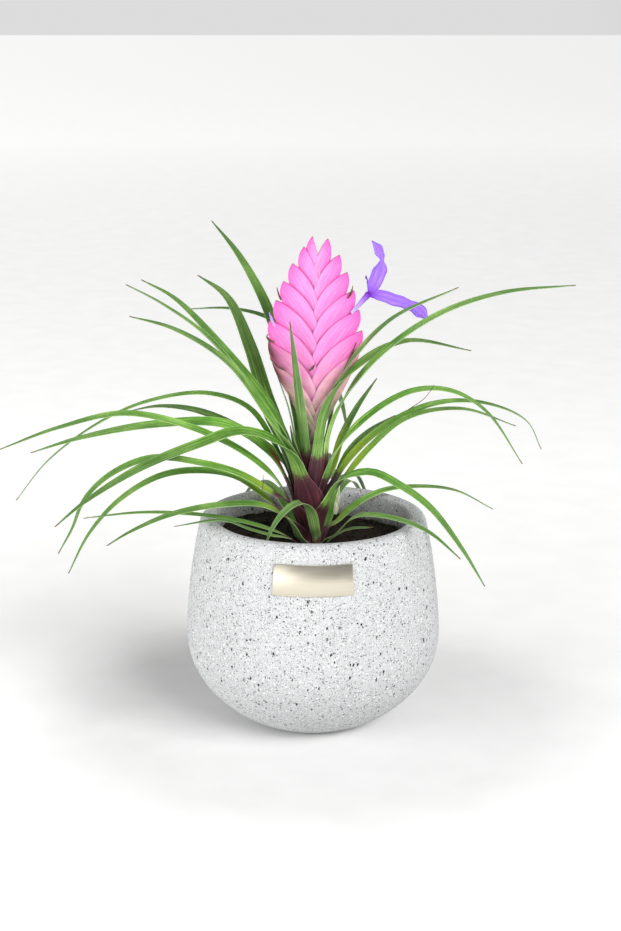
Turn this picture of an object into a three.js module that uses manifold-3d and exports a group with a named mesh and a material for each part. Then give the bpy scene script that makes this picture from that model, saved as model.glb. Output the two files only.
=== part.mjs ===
// A potted tillandsia with a pink flower spike, in a round pot of grey cast stone.
// Millimetres, +Z up. The origin is the centre of the pot's foot, and -Y faces the viewer.
import * as THREE from 'three';
import Module from 'manifold-3d';

const wasm = await Module();
wasm.setup();

// Pot
const potFootRadius = 28;
const potBellyRadius = 70;
const potBellyHeight = 50;
const potShoulderRadius = 62.6;
const potShoulderHeight = 112;
const potHeight = 117.5;
const potLipRadius = 53.5;
const potLipHeight = 116;
const potMouthRadius = 52.4;
const potCavityRadius = 60;
const potCavityFloorRadius = 36;
const potFloor = 12;
const potSides = 48;

// Soil
const clearance = 0.3;
const soilNearCrown = 102.6;
const soilAtWall = 101.4;
const soilMoundHeight = 5;
const soilMoundAzimuth = 150;
const soilMoundSpread = 55;
const soilClodHeight = 0.5;
const crownHoleRadius = 5;
const crownHoleFloor = 87.4;
const crownHoleFlare = 0.45;
const crownMouthRadius = 18;

// Bare name plate on the front of the pot
const plateWidth = 42;
const plateBottom = 91.5;
const plateTop = 107.5;
const plateThickness = 0.8;
const plateColumns = 8;

// Crown: sheaths stand round the stem in funnels, one inside the other, the youngest on top
const crownX = -1;
const stemRadius = 3.4;
const stemBottom = 78;
const stemTop = 96;
const outerFoot = 88;
const footRadius = 4.1;
const funnelSlope = 0.25;
const tierPitch = 1.12;
const sheathLength = 18;
const sheathThickness = 0.6;
const bladeThickness = 0.75;
const tipThickness = 0.6;
const tipWidth = 0.7;
const bladeTaper = 3;
const sheathToBlade = 20;
const sheathToChannel = 40;
const bladeHalfAngle = 0.5;
const foldedHalfAngle = 1.25;
const faceTurn = 30;
const stemwardReach = 14;
const turnReach = 32;
const stripSegments = 4;
const stationSpacing = 30;
const stationBend = 17;

// Flower spike
const scapeFootRadius = 3.4;
const scapeRadius = 2.6;
const scapeBaseZ = 96.3;
const scapeBendZ = 130;
const spikeBaseZ = 157.3;
const spikeBaseX = 0.5;
const spikeLeanX = 2.8;
const spikeTopZ = 269;
const rachisTopZ = 250;
const bractCount = 19;
const lowestTipZ = 175;
const bractTipPitch = 6.8;
const bractTipPitchLoss = 0.079;
const bractRunLow = 41;
const bractRunHigh = 27;
const spikeHalfThickLow = 5.4;
const spikeHalfThickHigh = 2.9;
const rodSides = 8;
const keelHalfThick = 0.35;
const marginHalfThick = 0.9;
const keelFoot = 2.2;
const keelBulgeLow = 2;
const keelBulgeHigh = 6;
const rachisFootRadius = 3;
const rachisTipRadius = 1.6;

// Open flower: tube from the axil of a bract to the throat
const tubeStart = new THREE.Vector3(20.5, -1.5, 228.4);
const throat = new THREE.Vector3(29.6, -2, 238.8);
const tubeRadius = 1.1;
const throatRadius = 1.9;
const petalThickness = 0.7;
const petalCurl = 0.3;

// Each petal: [x, y, z, width, twist in degrees] at a few places, from the throat to the tip
const petals = [
  [
    [29.6, -2, 238.2, 2.4, 0], [32.3, -2, 244, 7.4, 0], [35.4, -2.4, 251, 8.2, 15],
    [36.6, -3, 257, 5, 60], [34.6, -3.6, 262.4, 5.5, 20], [31, -4, 267.2, 0.9, 0],
  ],
  [
    [29, -2, 238.4, 2.4, 0], [35.5, -2, 238, 5, 0], [43.5, -2.4, 235.4, 5.8, 10],
    [51, -2.8, 232.8, 5.2, 30], [57, -3, 229.4, 7.6, 0], [61.4, -3, 224.8, 0.9, 0],
  ],
  [
    [29.8, -2.4, 238.6, 2.4, 90], [29.6, 1.5, 242, 4.4, 90],
    [29, 6, 244.6, 4.4, 90], [28.4, 9.5, 246.6, 0.9, 90],
  ],
];

// Half width of the spike, from its middle line to the bract tips: [height, half width]
const spikeOutline = [
  [157, 4], [167, 8], [178, 11], [186, 15], [200, 22.6], [212, 25], [222, 25],
  [232, 22.5], [242, 19.3], [252, 15], [260, 10.8], [270, 3],
];

const degrees = Math.PI / 180;

// Leaves by tier, from the youngest outward. base: where the sheath stands round the stem;
// blade: where the leaf points; both in degrees, with 0 at +X and 90 at the back.
// passes: [reach from the stem, height] at a few places, up to the tip.
const leafTiers = [
  [
    {
      base: 240, blade: 228, width: 6.5, wrap: 70, rise: 8,
      passes: [[7, 152], [11, 180], [15, 205], [18, 226]],
    },
    { base: 180, blade: 172, width: 3, wrap: 45, rise: 8, passes: [[8.5, 156], [12, 175], [18, 193]] },
    {
      base: 20, blade: 36, width: 3.5, wrap: 60, rise: 6,
      passes: [[7, 150], [11, 165], [18, 191], [29, 211]],
    },
  ],
  [
    {
      base: 123, blade: 130, width: 7.5, wrap: 75, rise: 10,
      passes: [[13, 170], [35, 222], [61, 251], [87, 269]],
    },
    {
      base: -45, blade: -14, width: 5.5, wrap: 65, rise: 8,
      passes: [[9, 171], [20, 199], [43, 226], [79, 245]],
    },
    { base: 228, blade: 220, width: 4, wrap: 50, rise: 12, passes: [[9.2, 148], [13, 158], [15.5, 169]] },
  ],
  [
    {
      base: -77, blade: 6, turn: 46, width: 5.5, wrap: 60,
      passes: [[11, 161], [15, 182], [28, 203], [52, 212], [87, 206]],
    },
    {
      base: -22, blade: -18, width: 6.5, wrap: 48,
      passes: [[10, 160], [18, 181], [38, 207], [70, 231], [103, 244], [141, 250]],
    },
    {
      base: 183, blade: 168, width: 7, wrap: 70,
      passes: [[11.8, 157], [27, 181], [49, 207], [75, 233], [94, 243]],
    },
    { base: 75, blade: 82, width: 5, wrap: 70, passes: [[13, 160], [26, 202], [52, 226], [84, 231]] },
  ],
  [
    {
      base: 204, blade: 182, width: 4, wrap: 62, fold: foldedHalfAngle,
      passes: [[13.5, 151], [38, 194], [57, 217], [80, 234], [98, 244]],
    },
    {
      base: 96, blade: 150, turn: 100, width: 4.5, wrap: 50,
      passes: [[12.4, 150], [17.5, 166], [24, 195], [33, 216], [43, 221], [60, 224], [80, 223]],
    },
    {
      base: 50, blade: 48, width: 4.5, wrap: 38, rise: 12,
      passes: [[18, 140], [25, 155], [38, 170], [55, 184]],
    },
    {
      base: -34, blade: 6, width: 4.5, wrap: 60,
      passes: [[13, 150], [27, 168], [54, 184], [76, 184], [96, 172], [117, 142]],
    },
  ],
  [
    {
      base: 158, blade: 150, width: 10.5, wrap: 72,
      passes: [[11, 138], [17, 153], [29, 178], [39, 206], [53, 232], [72, 243]],
    },
    {
      base: 244, blade: 199, width: 8, wrap: 62,
      passes: [[14, 151], [29, 180], [49, 206], [76, 224], [99, 232]],
    },
    {
      base: 22, blade: 31, width: 4.5, wrap: 58, rise: 14,
      passes: [[16, 136], [25, 146], [45, 159], [79, 169], [114, 166], [147, 151], [158, 133]],
    },
    {
      base: 97, blade: 92, width: 5, wrap: 46,
      passes: [[12, 143], [17, 152], [33, 186], [54, 207], [80, 208]],
    },
  ],
  [
    {
      base: 168, blade: 161, width: 3.3, wrap: 58,
      passes: [[12.2, 138], [18, 149], [35, 173], [60, 180], [96, 173], [127, 158], [160, 133], [181, 108]],
    },
    {
      base: 100, blade: 78, width: 5, wrap: 48,
      passes: [[11.5, 137], [20, 149], [36, 166], [58, 174], [84, 162], [106, 137]],
    },
    {
      base: -6, blade: 17, width: 3.8, wrap: 58,
      passes: [[19, 137], [34, 152], [55, 167], [87, 170], [120, 158]],
    },
    {
      base: 40, blade: 43, width: 3.5, wrap: 32, rise: 13,
      passes: [[16, 130], [28, 147], [43, 156], [65, 162]],
    },
  ],
  [
    {
      base: 262, blade: 208, turn: 33, width: 7.5, wrap: 106, rise: 24,
      passes: [[13, 138], [16.5, 151], [25, 162], [43, 168], [66, 164], [100, 155], [131, 141], [148, 130]],
    },
    {
      base: 177, blade: 181, width: 7.5, wrap: 58, rise: 20, narrows: 50,
      passes: [[13.2, 134.5], [22.5, 151], [36, 162.5], [50, 168], [87, 167], [125, 160], [152, 152]],
    },
    {
      base: 118, blade: 150, width: 6, wrap: 52,
      passes: [[13.5, 137], [26, 149], [46, 159], [72, 166], [99, 166], [123, 160]],
    },
    {
      base: 72, blade: 80, width: 5.5, wrap: 34,
      passes: [[16, 128], [32, 140], [50, 138], [75, 118], [94, 88]],
    },
  ],
  [
    {
      base: 177, blade: 190, width: 5.5, wrap: 44,
      passes: [[14.5, 129], [23, 141], [50, 161], [98, 177], [135, 171], [168, 160]],
    },
    {
      base: 232, blade: 200, width: 5.5, wrap: 62, rise: 20,
      passes: [
        [14, 125], [24, 132], [41, 143], [63, 151], [90, 156], [112, 149], [126, 137], [133, 122], [141, 109],
      ],
    },
    {
      base: 306, blade: 342, width: 5.5, wrap: 70, rise: 20,
      passes: [[13, 127], [18, 138], [33, 143], [50, 137], [67, 126], [84, 106], [98, 85]],
    },
    {
      base: 5, blade: 35, width: 3.6, wrap: 42, rise: 10,
      passes: [[16, 111], [26, 116], [47, 122], [72, 121], [102, 114], [131, 98]],
    },
    {
      base: 128, blade: 100, width: 5.5, wrap: 46, rise: 13,
      passes: [[18, 122], [34, 132], [52, 129], [72, 112], [88, 82]],
    },
    {
      base: 62, blade: 66, width: 5, wrap: 60, rise: 11,
      passes: [[17, 117], [30, 124], [46, 126], [64, 123], [86, 100]],
    },
  ],
  [
    {
      base: 196, blade: 190, width: 5.2, wrap: 52, rise: 16,
      passes: [[15, 118], [26, 128], [42, 140], [61, 144], [82, 142], [104, 130], [121, 112], [133, 90]],
    },
    {
      base: 246, blade: 215, width: 5, wrap: 40, rise: 14,
      passes: [[15, 115], [30, 126], [56, 131], [89, 131], [113, 126], [127, 121]],
    },
    {
      base: 296, blade: 236, turn: 50, width: 5.5, wrap: 40, rise: 12,
      passes: [[14, 112], [18, 123], [25, 130], [33, 127], [40, 119], [45, 110]],
    },
    {
      base: 338, blade: 325, width: 3.8, wrap: 38, rise: 9,
      passes: [[15, 107], [26, 118], [35, 122], [57, 123], [76, 119], [95, 108]],
    },
    {
      base: 90, blade: 92, width: 5, wrap: 60, rise: 12,
      passes: [[18, 113], [30, 119], [48, 122], [64, 122], [84, 109], [98, 84]],
    },
  ],
  [
    {
      base: 196, blade: 200, width: 4.5, wrap: 38, rise: 11,
      passes: [[15, 106], [30, 113], [45, 118], [66, 123], [96, 127], [127, 127]],
    },
    {
      base: 230, blade: 210, width: 3.5, wrap: 22, rise: 10,
      passes: [[15, 105.5], [25, 108.5], [39, 114], [54, 121], [83, 122]],
    },
    { base: 262, blade: 230, width: 4.5, wrap: 32, rise: 12, passes: [[15, 107], [19, 115], [25, 123]] },
    { base: -4, blade: -5, width: 2.5, wrap: 34, rise: 10, passes: [[15, 106], [22, 109], [34, 110]] },
    {
      base: 130, blade: 118, width: 5, wrap: 60, rise: 12,
      passes: [[18, 109], [40, 119], [58, 121], [78, 111], [94, 84]],
    },
    {
      base: 44, blade: 68, width: 4.5, wrap: 50, rise: 12,
      passes: [[18, 108], [38, 118], [58, 121], [74, 112], [88, 90]],
    },
  ],
];

const leafFinish = { color: 0x5f9a3a, roughness: 0.5, metalness: 0 };
const potFinish = { color: 0xdcdcd8, roughness: 0.9, metalness: 0 };
const soilFinish = { color: 0x2b211b, roughness: 1, metalness: 0 };
const plateFinish = { color: 0xd9cfb2, roughness: 0.3, metalness: 1 };
const stemFinish = { color: 0x6b4a3a, roughness: 0.8, metalness: 0 };
const scapeFinish = { color: 0xa8a070, roughness: 0.6, metalness: 0 };
const bractFinish = { color: 0xff8fd6, roughness: 0.45, metalness: 0 };
const petalFinish = { color: 0x9a6bf0, roughness: 0.5, metalness: 0 };

function clamp01(value) {
  return Math.min(1, Math.max(0, value));
}

function mix(from, to, share) {
  return from + (to - from) * share;
}

function smooth(value) {
  const share = clamp01(value);
  return share * share * (3 - 2 * share);
}

function heading(azimuth) {
  return new THREE.Vector3(Math.cos(azimuth * degrees), Math.sin(azimuth * degrees), 0);
}

// Joins rings of equal point count into one closed skin with capped ends. A ring is an array of
// points that runs round the section; caps pair point i with its mirror, so a curved strip closes too.
function skinRings(rings) {
  const count = rings[0].length;
  const positions = rings.flat().flatMap((point) => [point.x, point.y, point.z]);
  const triangles = [];
  for (let row = 0; row < rings.length - 1; row += 1) {
    const here = row * count;
    const next = here + count;
    for (let i = 0; i < count; i += 1) {
      const j = (i + 1) % count;
      if (i < count / 2) {
        triangles.push(here + i, here + j, next + j, here + i, next + j, next + i);
      } else {
        triangles.push(here + i, here + j, next + i, here + j, next + j, next + i);
      }
    }
  }
  const last = (rings.length - 1) * count;
  for (let i = 0; i < count / 2 - 1; i += 1) {
    const mirror = count - 1 - i;
    triangles.push(i, mirror, mirror - 1, i, mirror - 1, i + 1);
    triangles.push(last + i, last + mirror - 1, last + mirror, last + i, last + i + 1, last + mirror - 1);
  }
  return new wasm.Mesh({
    numProp: 3,
    vertProperties: new Float32Array(positions),
    triVerts: new Uint32Array(triangles),
  });
}

function solidFromRings(rings) {
  const solid = new wasm.Manifold(skinRings(rings));
  return solid.volume() > 0 ? solid : new wasm.Manifold(skinRings(rings.map((ring) => [...ring].reverse())));
}

function geometryOf(solid) {
  const mesh = solid.getMesh();
  const geometry = new THREE.BufferGeometry();
  geometry.setAttribute('position', new THREE.BufferAttribute(new Float32Array(mesh.vertProperties), 3));
  geometry.setIndex(new THREE.BufferAttribute(new Uint32Array(mesh.triVerts), 1));
  geometry.computeVertexNormals();
  return geometry;
}

function namedMesh(name, solid, finish) {
  const mesh = new THREE.Mesh(geometryOf(solid), new THREE.MeshStandardMaterial(finish));
  mesh.name = name;
  return mesh;
}

// A strip with a hollowed section: along the stations its arc may widen, flatten and thin out.
function stripSolid(stations) {
  const rings = stations.map((station) => {
    const { centre, across, outward, width, halfAngle, thickness } = station;
    const radius = width / (2 * halfAngle);
    const outer = [];
    const inner = [];
    for (let k = 0; k <= stripSegments; k += 1) {
      const angle = halfAngle * ((2 * k) / stripSegments - 1);
      const normal = across.clone().multiplyScalar(Math.sin(angle)).addScaledVector(outward, Math.cos(angle));
      const axis = centre.clone().addScaledVector(outward, -radius);
      outer.push(axis.clone().addScaledVector(normal, radius + thickness / 2));
      inner.unshift(axis.clone().addScaledVector(normal, radius - thickness / 2));
    }
    return [...outer, ...inner];
  });
  return solidFromRings(rings);
}

function leafPoints(leaf, foot, rise) {
  const turn = leaf.turn ?? turnReach;
  const topRadius = footRadius + funnelSlope * rise;
  const sheath = [[footRadius, foot], [topRadius, foot + rise]];
  return [...sheath, ...leaf.passes].map(([reach, height]) => {
    const rest = 1 - clamp01((reach - topRadius) / (turn - topRadius));
    const azimuth = mix(leaf.blade, leaf.base, rest * rest);
    return heading(azimuth).multiplyScalar(reach).add(new THREE.Vector3(crownX, 0, height));
  });
}

// Stations lie closer together where the leaf bends.
function stationShares(curve, length) {
  const samples = 60;
  const effort = [0];
  for (let i = 1; i <= samples; i += 1) {
    const bend = curve.getTangentAt(i / samples).angleTo(curve.getTangentAt((i - 1) / samples));
    effort.push(effort[i - 1] + length / samples / stationSpacing + bend / (stationBend * degrees));
  }
  const spans = Math.round(effort[samples]);
  return Array.from({ length: spans + 1 }, (_, station) => {
    const goal = Math.min((effort[samples] * station) / spans, effort[samples]);
    const after = Math.max(1, effort.findIndex((value) => value >= goal));
    return (after - 1 + (goal - effort[after - 1]) / (effort[after] - effort[after - 1])) / samples;
  });
}

// The sheath faces out from the stem. Farther out the blade lies across its own course, and it
// turns its upper face a little to the front.
function leafStations(leaf, tier) {
  const foot = outerFoot + (tierPitch / funnelSlope) * (leafTiers.length - 1 - tier);
  const rise = leaf.rise ?? sheathLength;
  const curve = new THREE.CatmullRomCurve3(leafPoints(leaf, foot, rise), false, 'centripetal');
  const length = curve.getLength();
  const sheathRun = Math.hypot(rise, rise * funnelSlope);
  const topRadius = footRadius + funnelSlope * rise;
  return stationShares(curve, length).map((share) => {
    const centre = curve.getPointAt(share);
    const fromStem = new THREE.Vector3(centre.x - crownX, centre.y, 0);
    const reach = Math.max(fromStem.length(), footRadius);
    centre.addScaledVector(fromStem, reach / fromStem.length() - 1);
    const tangent = curve.getTangentAt(share);
    const aroundStem = new THREE.Vector3(-fromStem.y, fromStem.x, 0).normalize();
    const acrossCourse = new THREE.Vector3(-tangent.y, tangent.x, 0).normalize();
    const free = smooth((reach - stemwardReach) / stemwardReach);
    const across = aroundStem.lerp(acrossCourse, free);
    across.addScaledVector(tangent, -across.dot(tangent)).normalize();
    across.applyAxisAngle(tangent, free * faceTurn * degrees * Math.cos(leaf.blade * degrees));
    const along = share * length - sheathRun;
    const opened = smooth(along / (leaf.narrows ?? sheathToBlade));
    const towardTip = clamp01(along / (length - sheathRun));
    const bladeWidth = leaf.width * (1 - towardTip ** bladeTaper) + tipWidth;
    const sheathWidth = leaf.wrap * degrees * Math.min(reach, topRadius);
    const width = mix(sheathWidth, bladeWidth, opened);
    const roundStem = width / (2 * reach);
    const halfAngle = mix(roundStem, leaf.fold ?? bladeHalfAngle, smooth(along / sheathToChannel));
    const thickness = mix(sheathThickness, mix(bladeThickness, tipThickness, towardTip), opened);
    const outward = new THREE.Vector3().crossVectors(across, tangent);
    return { centre, across, outward, width, halfAngle, thickness };
  });
}

function addLeaves(group) {
  let number = 1;
  leafTiers.forEach((tierLeaves, tier) => {
    tierLeaves.forEach((leaf) => {
      const name = `leaf_${String(number).padStart(2, '0')}`;
      group.add(namedMesh(name, stripSolid(leafStations(leaf, tier)), leafFinish));
      number += 1;
    });
  });
}

function bezierPoints(points, steps) {
  const [a, b, c, d] = points.map(([x, y]) => new THREE.Vector2(x, y));
  return new THREE.CubicBezierCurve(a, b, c, d).getPoints(steps);
}

function potOutside() {
  const bowl = bezierPoints([
    [potFootRadius, 0],
    [potFootRadius + 20, 6],
    [potBellyRadius, potBellyHeight - 24],
    [potBellyRadius, potBellyHeight],
  ], 7);
  const shoulder = bezierPoints([
    [potBellyRadius, potBellyHeight],
    [potBellyRadius, potBellyHeight + 22],
    [potShoulderRadius + 3.4, potShoulderHeight - 16],
    [potShoulderRadius, potShoulderHeight],
  ], 4);
  return [...bowl, ...shoulder.slice(1)];
}

function potInside() {
  const neck = bezierPoints([
    [potMouthRadius, potLipHeight - 3],
    [potMouthRadius, potLipHeight - 18],
    [potCavityRadius, potBellyHeight + 30],
    [potCavityRadius, potBellyHeight + 5],
  ], 4);
  const bowl = bezierPoints([
    [potCavityRadius, potBellyHeight + 5],
    [potCavityRadius, potBellyHeight - 18],
    [potCavityFloorRadius + 16, potFloor + 3],
    [potCavityFloorRadius, potFloor],
  ], 4);
  return [...neck, ...bowl.slice(1)];
}

function potRim() {
  return bezierPoints([
    [potShoulderRadius, potShoulderHeight],
    [potShoulderRadius - 0.8, potHeight],
    [potLipRadius + 4, potHeight + 0.6],
    [potLipRadius, potLipHeight],
  ], 4).slice(1);
}

// A turned body: its rings are round, and heightAt may raise the points of the rings marked free.
function turnedSolid(profile, heightAt) {
  const positions = [];
  const triangles = [];
  profile.forEach(([radius, height, free]) => {
    for (let side = 0; side < potSides; side += 1) {
      const angle = (side / potSides) * 2 * Math.PI;
      const lift = free ? heightAt(radius, angle / degrees) : 0;
      positions.push(radius * Math.cos(angle), radius * Math.sin(angle), height + lift);
    }
  });
  const bottom = positions.length / 3;
  positions.push(0, 0, profile[0][1]);
  const last = profile[profile.length - 1];
  positions.push(0, 0, last[1] + (last[2] ? heightAt(0, 0) : 0));
  for (let side = 0; side < potSides; side += 1) {
    const next = (side + 1) % potSides;
    triangles.push(bottom, next, side);
    for (let row = 0; row < profile.length - 1; row += 1) {
      const low = row * potSides;
      const high = low + potSides;
      triangles.push(low + side, low + next, high + next, low + side, high + next, high + side);
    }
    const top = (profile.length - 1) * potSides;
    triangles.push(bottom + 1, top + side, top + next);
  }
  return new wasm.Manifold(new wasm.Mesh({
    numProp: 3,
    vertProperties: new Float32Array(positions),
    triVerts: new Uint32Array(triangles),
  }));
}

// An upright round body on the crown's axis, which may flare towards its top.
function roundSolid(bottomRadius, topRadius, bottom, top, sides) {
  const ringAt = (radius, height) => Array.from({ length: sides }, (_, side) => {
    const angle = (side / sides) * 2 * Math.PI;
    return new THREE.Vector3(crownX + radius * Math.cos(angle), radius * Math.sin(angle), height);
  });
  return solidFromRings([ringAt(bottomRadius, bottom), ringAt(topRadius, top)]);
}

function makePot() {
  const profile = [...potOutside(), ...potRim(), ...potInside()].map((point) => [point.x, point.y, false]);
  return turnedSolid(profile, () => 0);
}

function soilLift(radius, azimuth) {
  const away = Math.abs(((azimuth - soilMoundAzimuth + 540) % 360) - 180);
  const nearWall = smooth((radius - crownMouthRadius) / (potMouthRadius - crownMouthRadius));
  const mound = soilMoundHeight * Math.exp(-((away / soilMoundSpread) ** 2)) * nearWall;
  const awayFromCrown = smooth((radius - crownMouthRadius) / 6);
  const clods = soilClodHeight * Math.sin(azimuth * degrees * 5 + radius * 0.4) * awayFromCrown;
  return mix(soilNearCrown, soilAtWall, nearWall) + mound + clods;
}

function makeSoil() {
  const side = potInside().filter((point) => point.y < soilAtWall - 4).reverse();
  const profile = side.map((point) => [point.x - clearance, Math.max(point.y, potFloor + clearance), false]);
  profile.push([potMouthRadius - clearance, soilAtWall - 3.5, false]);
  const topRings = [potMouthRadius - clearance, 46, 38, 28, crownMouthRadius];
  topRings.forEach((radius) => profile.push([radius, 0, true]));
  const crownHoleTop = crownHoleRadius + crownHoleFlare * (potHeight - crownHoleFloor);
  const crownHole = roundSolid(crownHoleRadius, crownHoleTop, crownHoleFloor, potHeight, 32);
  const stemHoleRadius = stemRadius + clearance;
  const stemHole = roundSolid(stemHoleRadius, stemHoleRadius, stemBottom - clearance, potHeight, 16);
  return turnedSolid(profile, soilLift).subtract(crownHole).subtract(stemHole);
}

function potRadiusAt(height) {
  const outside = potOutside();
  const above = outside.findIndex((point) => point.y >= height);
  const low = outside[above - 1];
  const high = outside[above];
  return mix(low.x, high.x, (height - low.y) / (high.y - low.y));
}

function makePlate() {
  const halfSpan = Math.asin(plateWidth / 2 / potRadiusAt(plateBottom));
  const columns = Array.from({ length: plateColumns + 1 }, (_, column) => {
    const angle = -Math.PI / 2 + halfSpan * ((2 * column) / plateColumns - 1);
    const at = (height, offset) => {
      const radius = potRadiusAt(height) + clearance + offset;
      return new THREE.Vector3(radius * Math.cos(angle), radius * Math.sin(angle), height);
    };
    const front = [at(plateBottom, plateThickness), at(plateTop, plateThickness)];
    return [...front, at(plateTop, 0), at(plateBottom, 0)];
  });
  return solidFromRings(columns);
}

// The spike's middle line leans a little to +X as it rises.
function spikeAxisX(height) {
  const share = clamp01((height - spikeBaseZ) / (spikeTopZ - spikeBaseZ));
  const bent = smooth((height - scapeBendZ) / (spikeBaseZ - scapeBendZ));
  return mix(crownX, spikeBaseX, bent) + spikeLeanX * share ** 2.2;
}

function rodSolid(lowZ, highZ, lowRadius, highRadius, steps) {
  const rings = Array.from({ length: steps + 1 }, (_, step) => {
    const height = mix(lowZ, highZ, step / steps);
    const radius = mix(lowRadius, highRadius, step / steps);
    const axisX = spikeAxisX(height);
    return Array.from({ length: rodSides }, (__, side) => {
      const angle = ((side + 0.5) / rodSides) * 2 * Math.PI;
      return new THREE.Vector3(axisX + radius * Math.cos(angle), radius * Math.sin(angle), height);
    });
  });
  return solidFromRings(rings);
}

// Two clasping bracts wrap the scape below the spike.
function makeScape() {
  const wraps = [
    { baseZ: 131, tipZ: 148, side: -1, half: 3.6, thick: 2.9, spread: 1, bulge: 0 },
    { baseZ: 139, tipZ: 156.6, side: 1, half: 4.2, thick: 3, spread: 1, bulge: 0 },
  ];
  const rod = rodSolid(scapeBaseZ, spikeBaseZ - clearance, scapeFootRadius, scapeRadius, 6);
  return wraps.reduce((solid, wrap) => solid.add(bractSolid(wrap)), rod);
}

// One boat-shaped bract, folded along its keel, which lies at the edge of the flat spike.
// A bract of small spread runs straight out to its tip. One of full spread turns upright there,
// and the bulge pushes its keel out below the tip.
function bractSolid({ baseZ, tipZ, side, half, thick, spread, bulge }) {
  const rise = tipZ - baseZ;
  const baseX = spikeAxisX(baseZ);
  const tipX = spikeAxisX(tipZ) + side * half;
  const keel = new THREE.CubicBezierCurve(
    new THREE.Vector2(baseX + side * keelFoot, baseZ),
    new THREE.Vector2(baseX + side * (keelFoot + half * mix(0.18, 0.46, spread)), baseZ + rise * 0.34),
    new THREE.Vector2(baseX + side * (half * mix(0.72, 1.06, spread) + bulge), baseZ + rise * 0.68),
    new THREE.Vector2(tipX, tipZ),
  );
  const margin = new THREE.CubicBezierCurve(
    new THREE.Vector2(baseX - side * keelFoot, baseZ + 1),
    new THREE.Vector2(baseX - side * 2.8, baseZ + rise * 0.5),
    new THREE.Vector2(baseX + side * half * 0.42, baseZ + rise * 0.86),
    new THREE.Vector2(tipX - side * 0.9, tipZ - 0.2),
  );
  const steps = 7;
  const rings = Array.from({ length: steps + 1 }, (_, step) => {
    const along = step / steps;
    const edge = keel.getPoint(along);
    const inner = margin.getPoint(along);
    const fullness = mix(marginHalfThick, thick, Math.sin(Math.PI * (0.12 + 0.88 * along) ** 0.8));
    const front = [0, 0.4, 0.75, 1].map((across) => {
      const depth = mix(keelHalfThick, fullness, Math.sin((across * Math.PI) / 2));
      return new THREE.Vector3(mix(edge.x, inner.x, across), -depth, mix(edge.y, inner.y, across));
    });
    const back = front.map((point) => new THREE.Vector3(point.x, -point.y, point.z)).reverse();
    return [...front, ...back];
  });
  return solidFromRings(rings);
}

function spikeHalfWidth(height) {
  const above = spikeOutline.findIndex(([at]) => at >= height);
  const [lowZ, lowHalf] = spikeOutline[above - 1];
  const [highZ, highHalf] = spikeOutline[above];
  return mix(lowHalf, highHalf, (height - lowZ) / (highZ - lowZ));
}

// Bracts alternate left and right up the spike, in two ranks, each lapping the one above it.
function spikeBracts() {
  return Array.from({ length: bractCount }, (_, order) => {
    const share = order / (bractCount - 1);
    const tipZ = Math.min(spikeTopZ, lowestTipZ + order * (bractTipPitch - bractTipPitchLoss * order));
    const spread = smooth((order - 2) / 6);
    return {
      side: order % 2 === 0 ? -1 : 1,
      tipZ,
      baseZ: Math.max(spikeBaseZ, tipZ - mix(bractRunLow, bractRunHigh, share)),
      half: spikeHalfWidth(tipZ),
      thick: mix(spikeHalfThickLow, spikeHalfThickHigh, share),
      spread,
      bulge: spread * mix(keelBulgeLow, keelBulgeHigh, share),
    };
  });
}

function makeSpike() {
  const rachis = rodSolid(spikeBaseZ, rachisTopZ, rachisFootRadius, rachisTipRadius, 5);
  const solid = spikeBracts().reduce((joined, bract) => joined.add(bractSolid(bract)), rachis);
  return solid.subtract(tubeSolid(clearance));
}

function tubeSolid(extra) {
  const direction = throat.clone().sub(tubeStart).normalize();
  const side = new THREE.Vector3(0, 1, 0);
  const cross = new THREE.Vector3().crossVectors(direction, side).normalize();
  const start = tubeStart.clone().addScaledVector(direction, -extra);
  const rings = [0, 0.5, 1].map((share) => {
    const centre = start.clone().lerp(throat, share);
    const radius = mix(tubeRadius, throatRadius, share) + extra;
    return Array.from({ length: rodSides }, (_, corner) => {
      const angle = (corner / rodSides) * 2 * Math.PI;
      return centre.clone()
        .addScaledVector(side, radius * Math.cos(angle))
        .addScaledVector(cross, radius * Math.sin(angle));
    });
  });
  return solidFromRings(rings);
}

function petalSolid(rows) {
  const points = rows.map(([x, y, z]) => new THREE.Vector3(x, y, z));
  const curve = new THREE.CatmullRomCurve3(points, false, 'centripetal');
  const steps = (rows.length - 1) * 2;
  const stations = Array.from({ length: steps + 1 }, (_, step) => {
    const share = step / steps;
    const row = Math.min(Math.floor(step / 2), rows.length - 2);
    const part = step / 2 - row;
    const tangent = curve.getTangent(share);
    const flat = new THREE.Vector3().crossVectors(tangent, new THREE.Vector3(0, -1, 0)).normalize();
    const across = flat.applyAxisAngle(tangent, mix(rows[row][4], rows[row + 1][4], part) * degrees);
    const outward = new THREE.Vector3().crossVectors(across, tangent);
    const width = mix(rows[row][3], rows[row + 1][3], part);
    const centre = curve.getPoint(share);
    return { centre, across, outward, width, halfAngle: petalCurl, thickness: petalThickness };
  });
  return stripSolid(stations);
}

function makeCorolla() {
  return petals.reduce((solid, rows) => solid.add(petalSolid(rows)), tubeSolid(0));
}

const group = new THREE.Group();
group.add(namedMesh('pot', makePot(), potFinish));
group.add(namedMesh('soil', makeSoil(), soilFinish));
group.add(namedMesh('name_plate', makePlate(), plateFinish));
group.add(namedMesh('stem', roundSolid(stemRadius, stemRadius, stemBottom, stemTop, 16), stemFinish));
group.add(namedMesh('scape', makeScape(), scapeFinish));
group.add(namedMesh('flower_spike', makeSpike(), bractFinish));
group.add(namedMesh('corolla', makeCorolla(), petalFinish));
addLeaves(group);

export default group;
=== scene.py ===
import math
import random

import bmesh
import bpy
from mathutils import Matrix, Quaternion, Vector, noise


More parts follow.
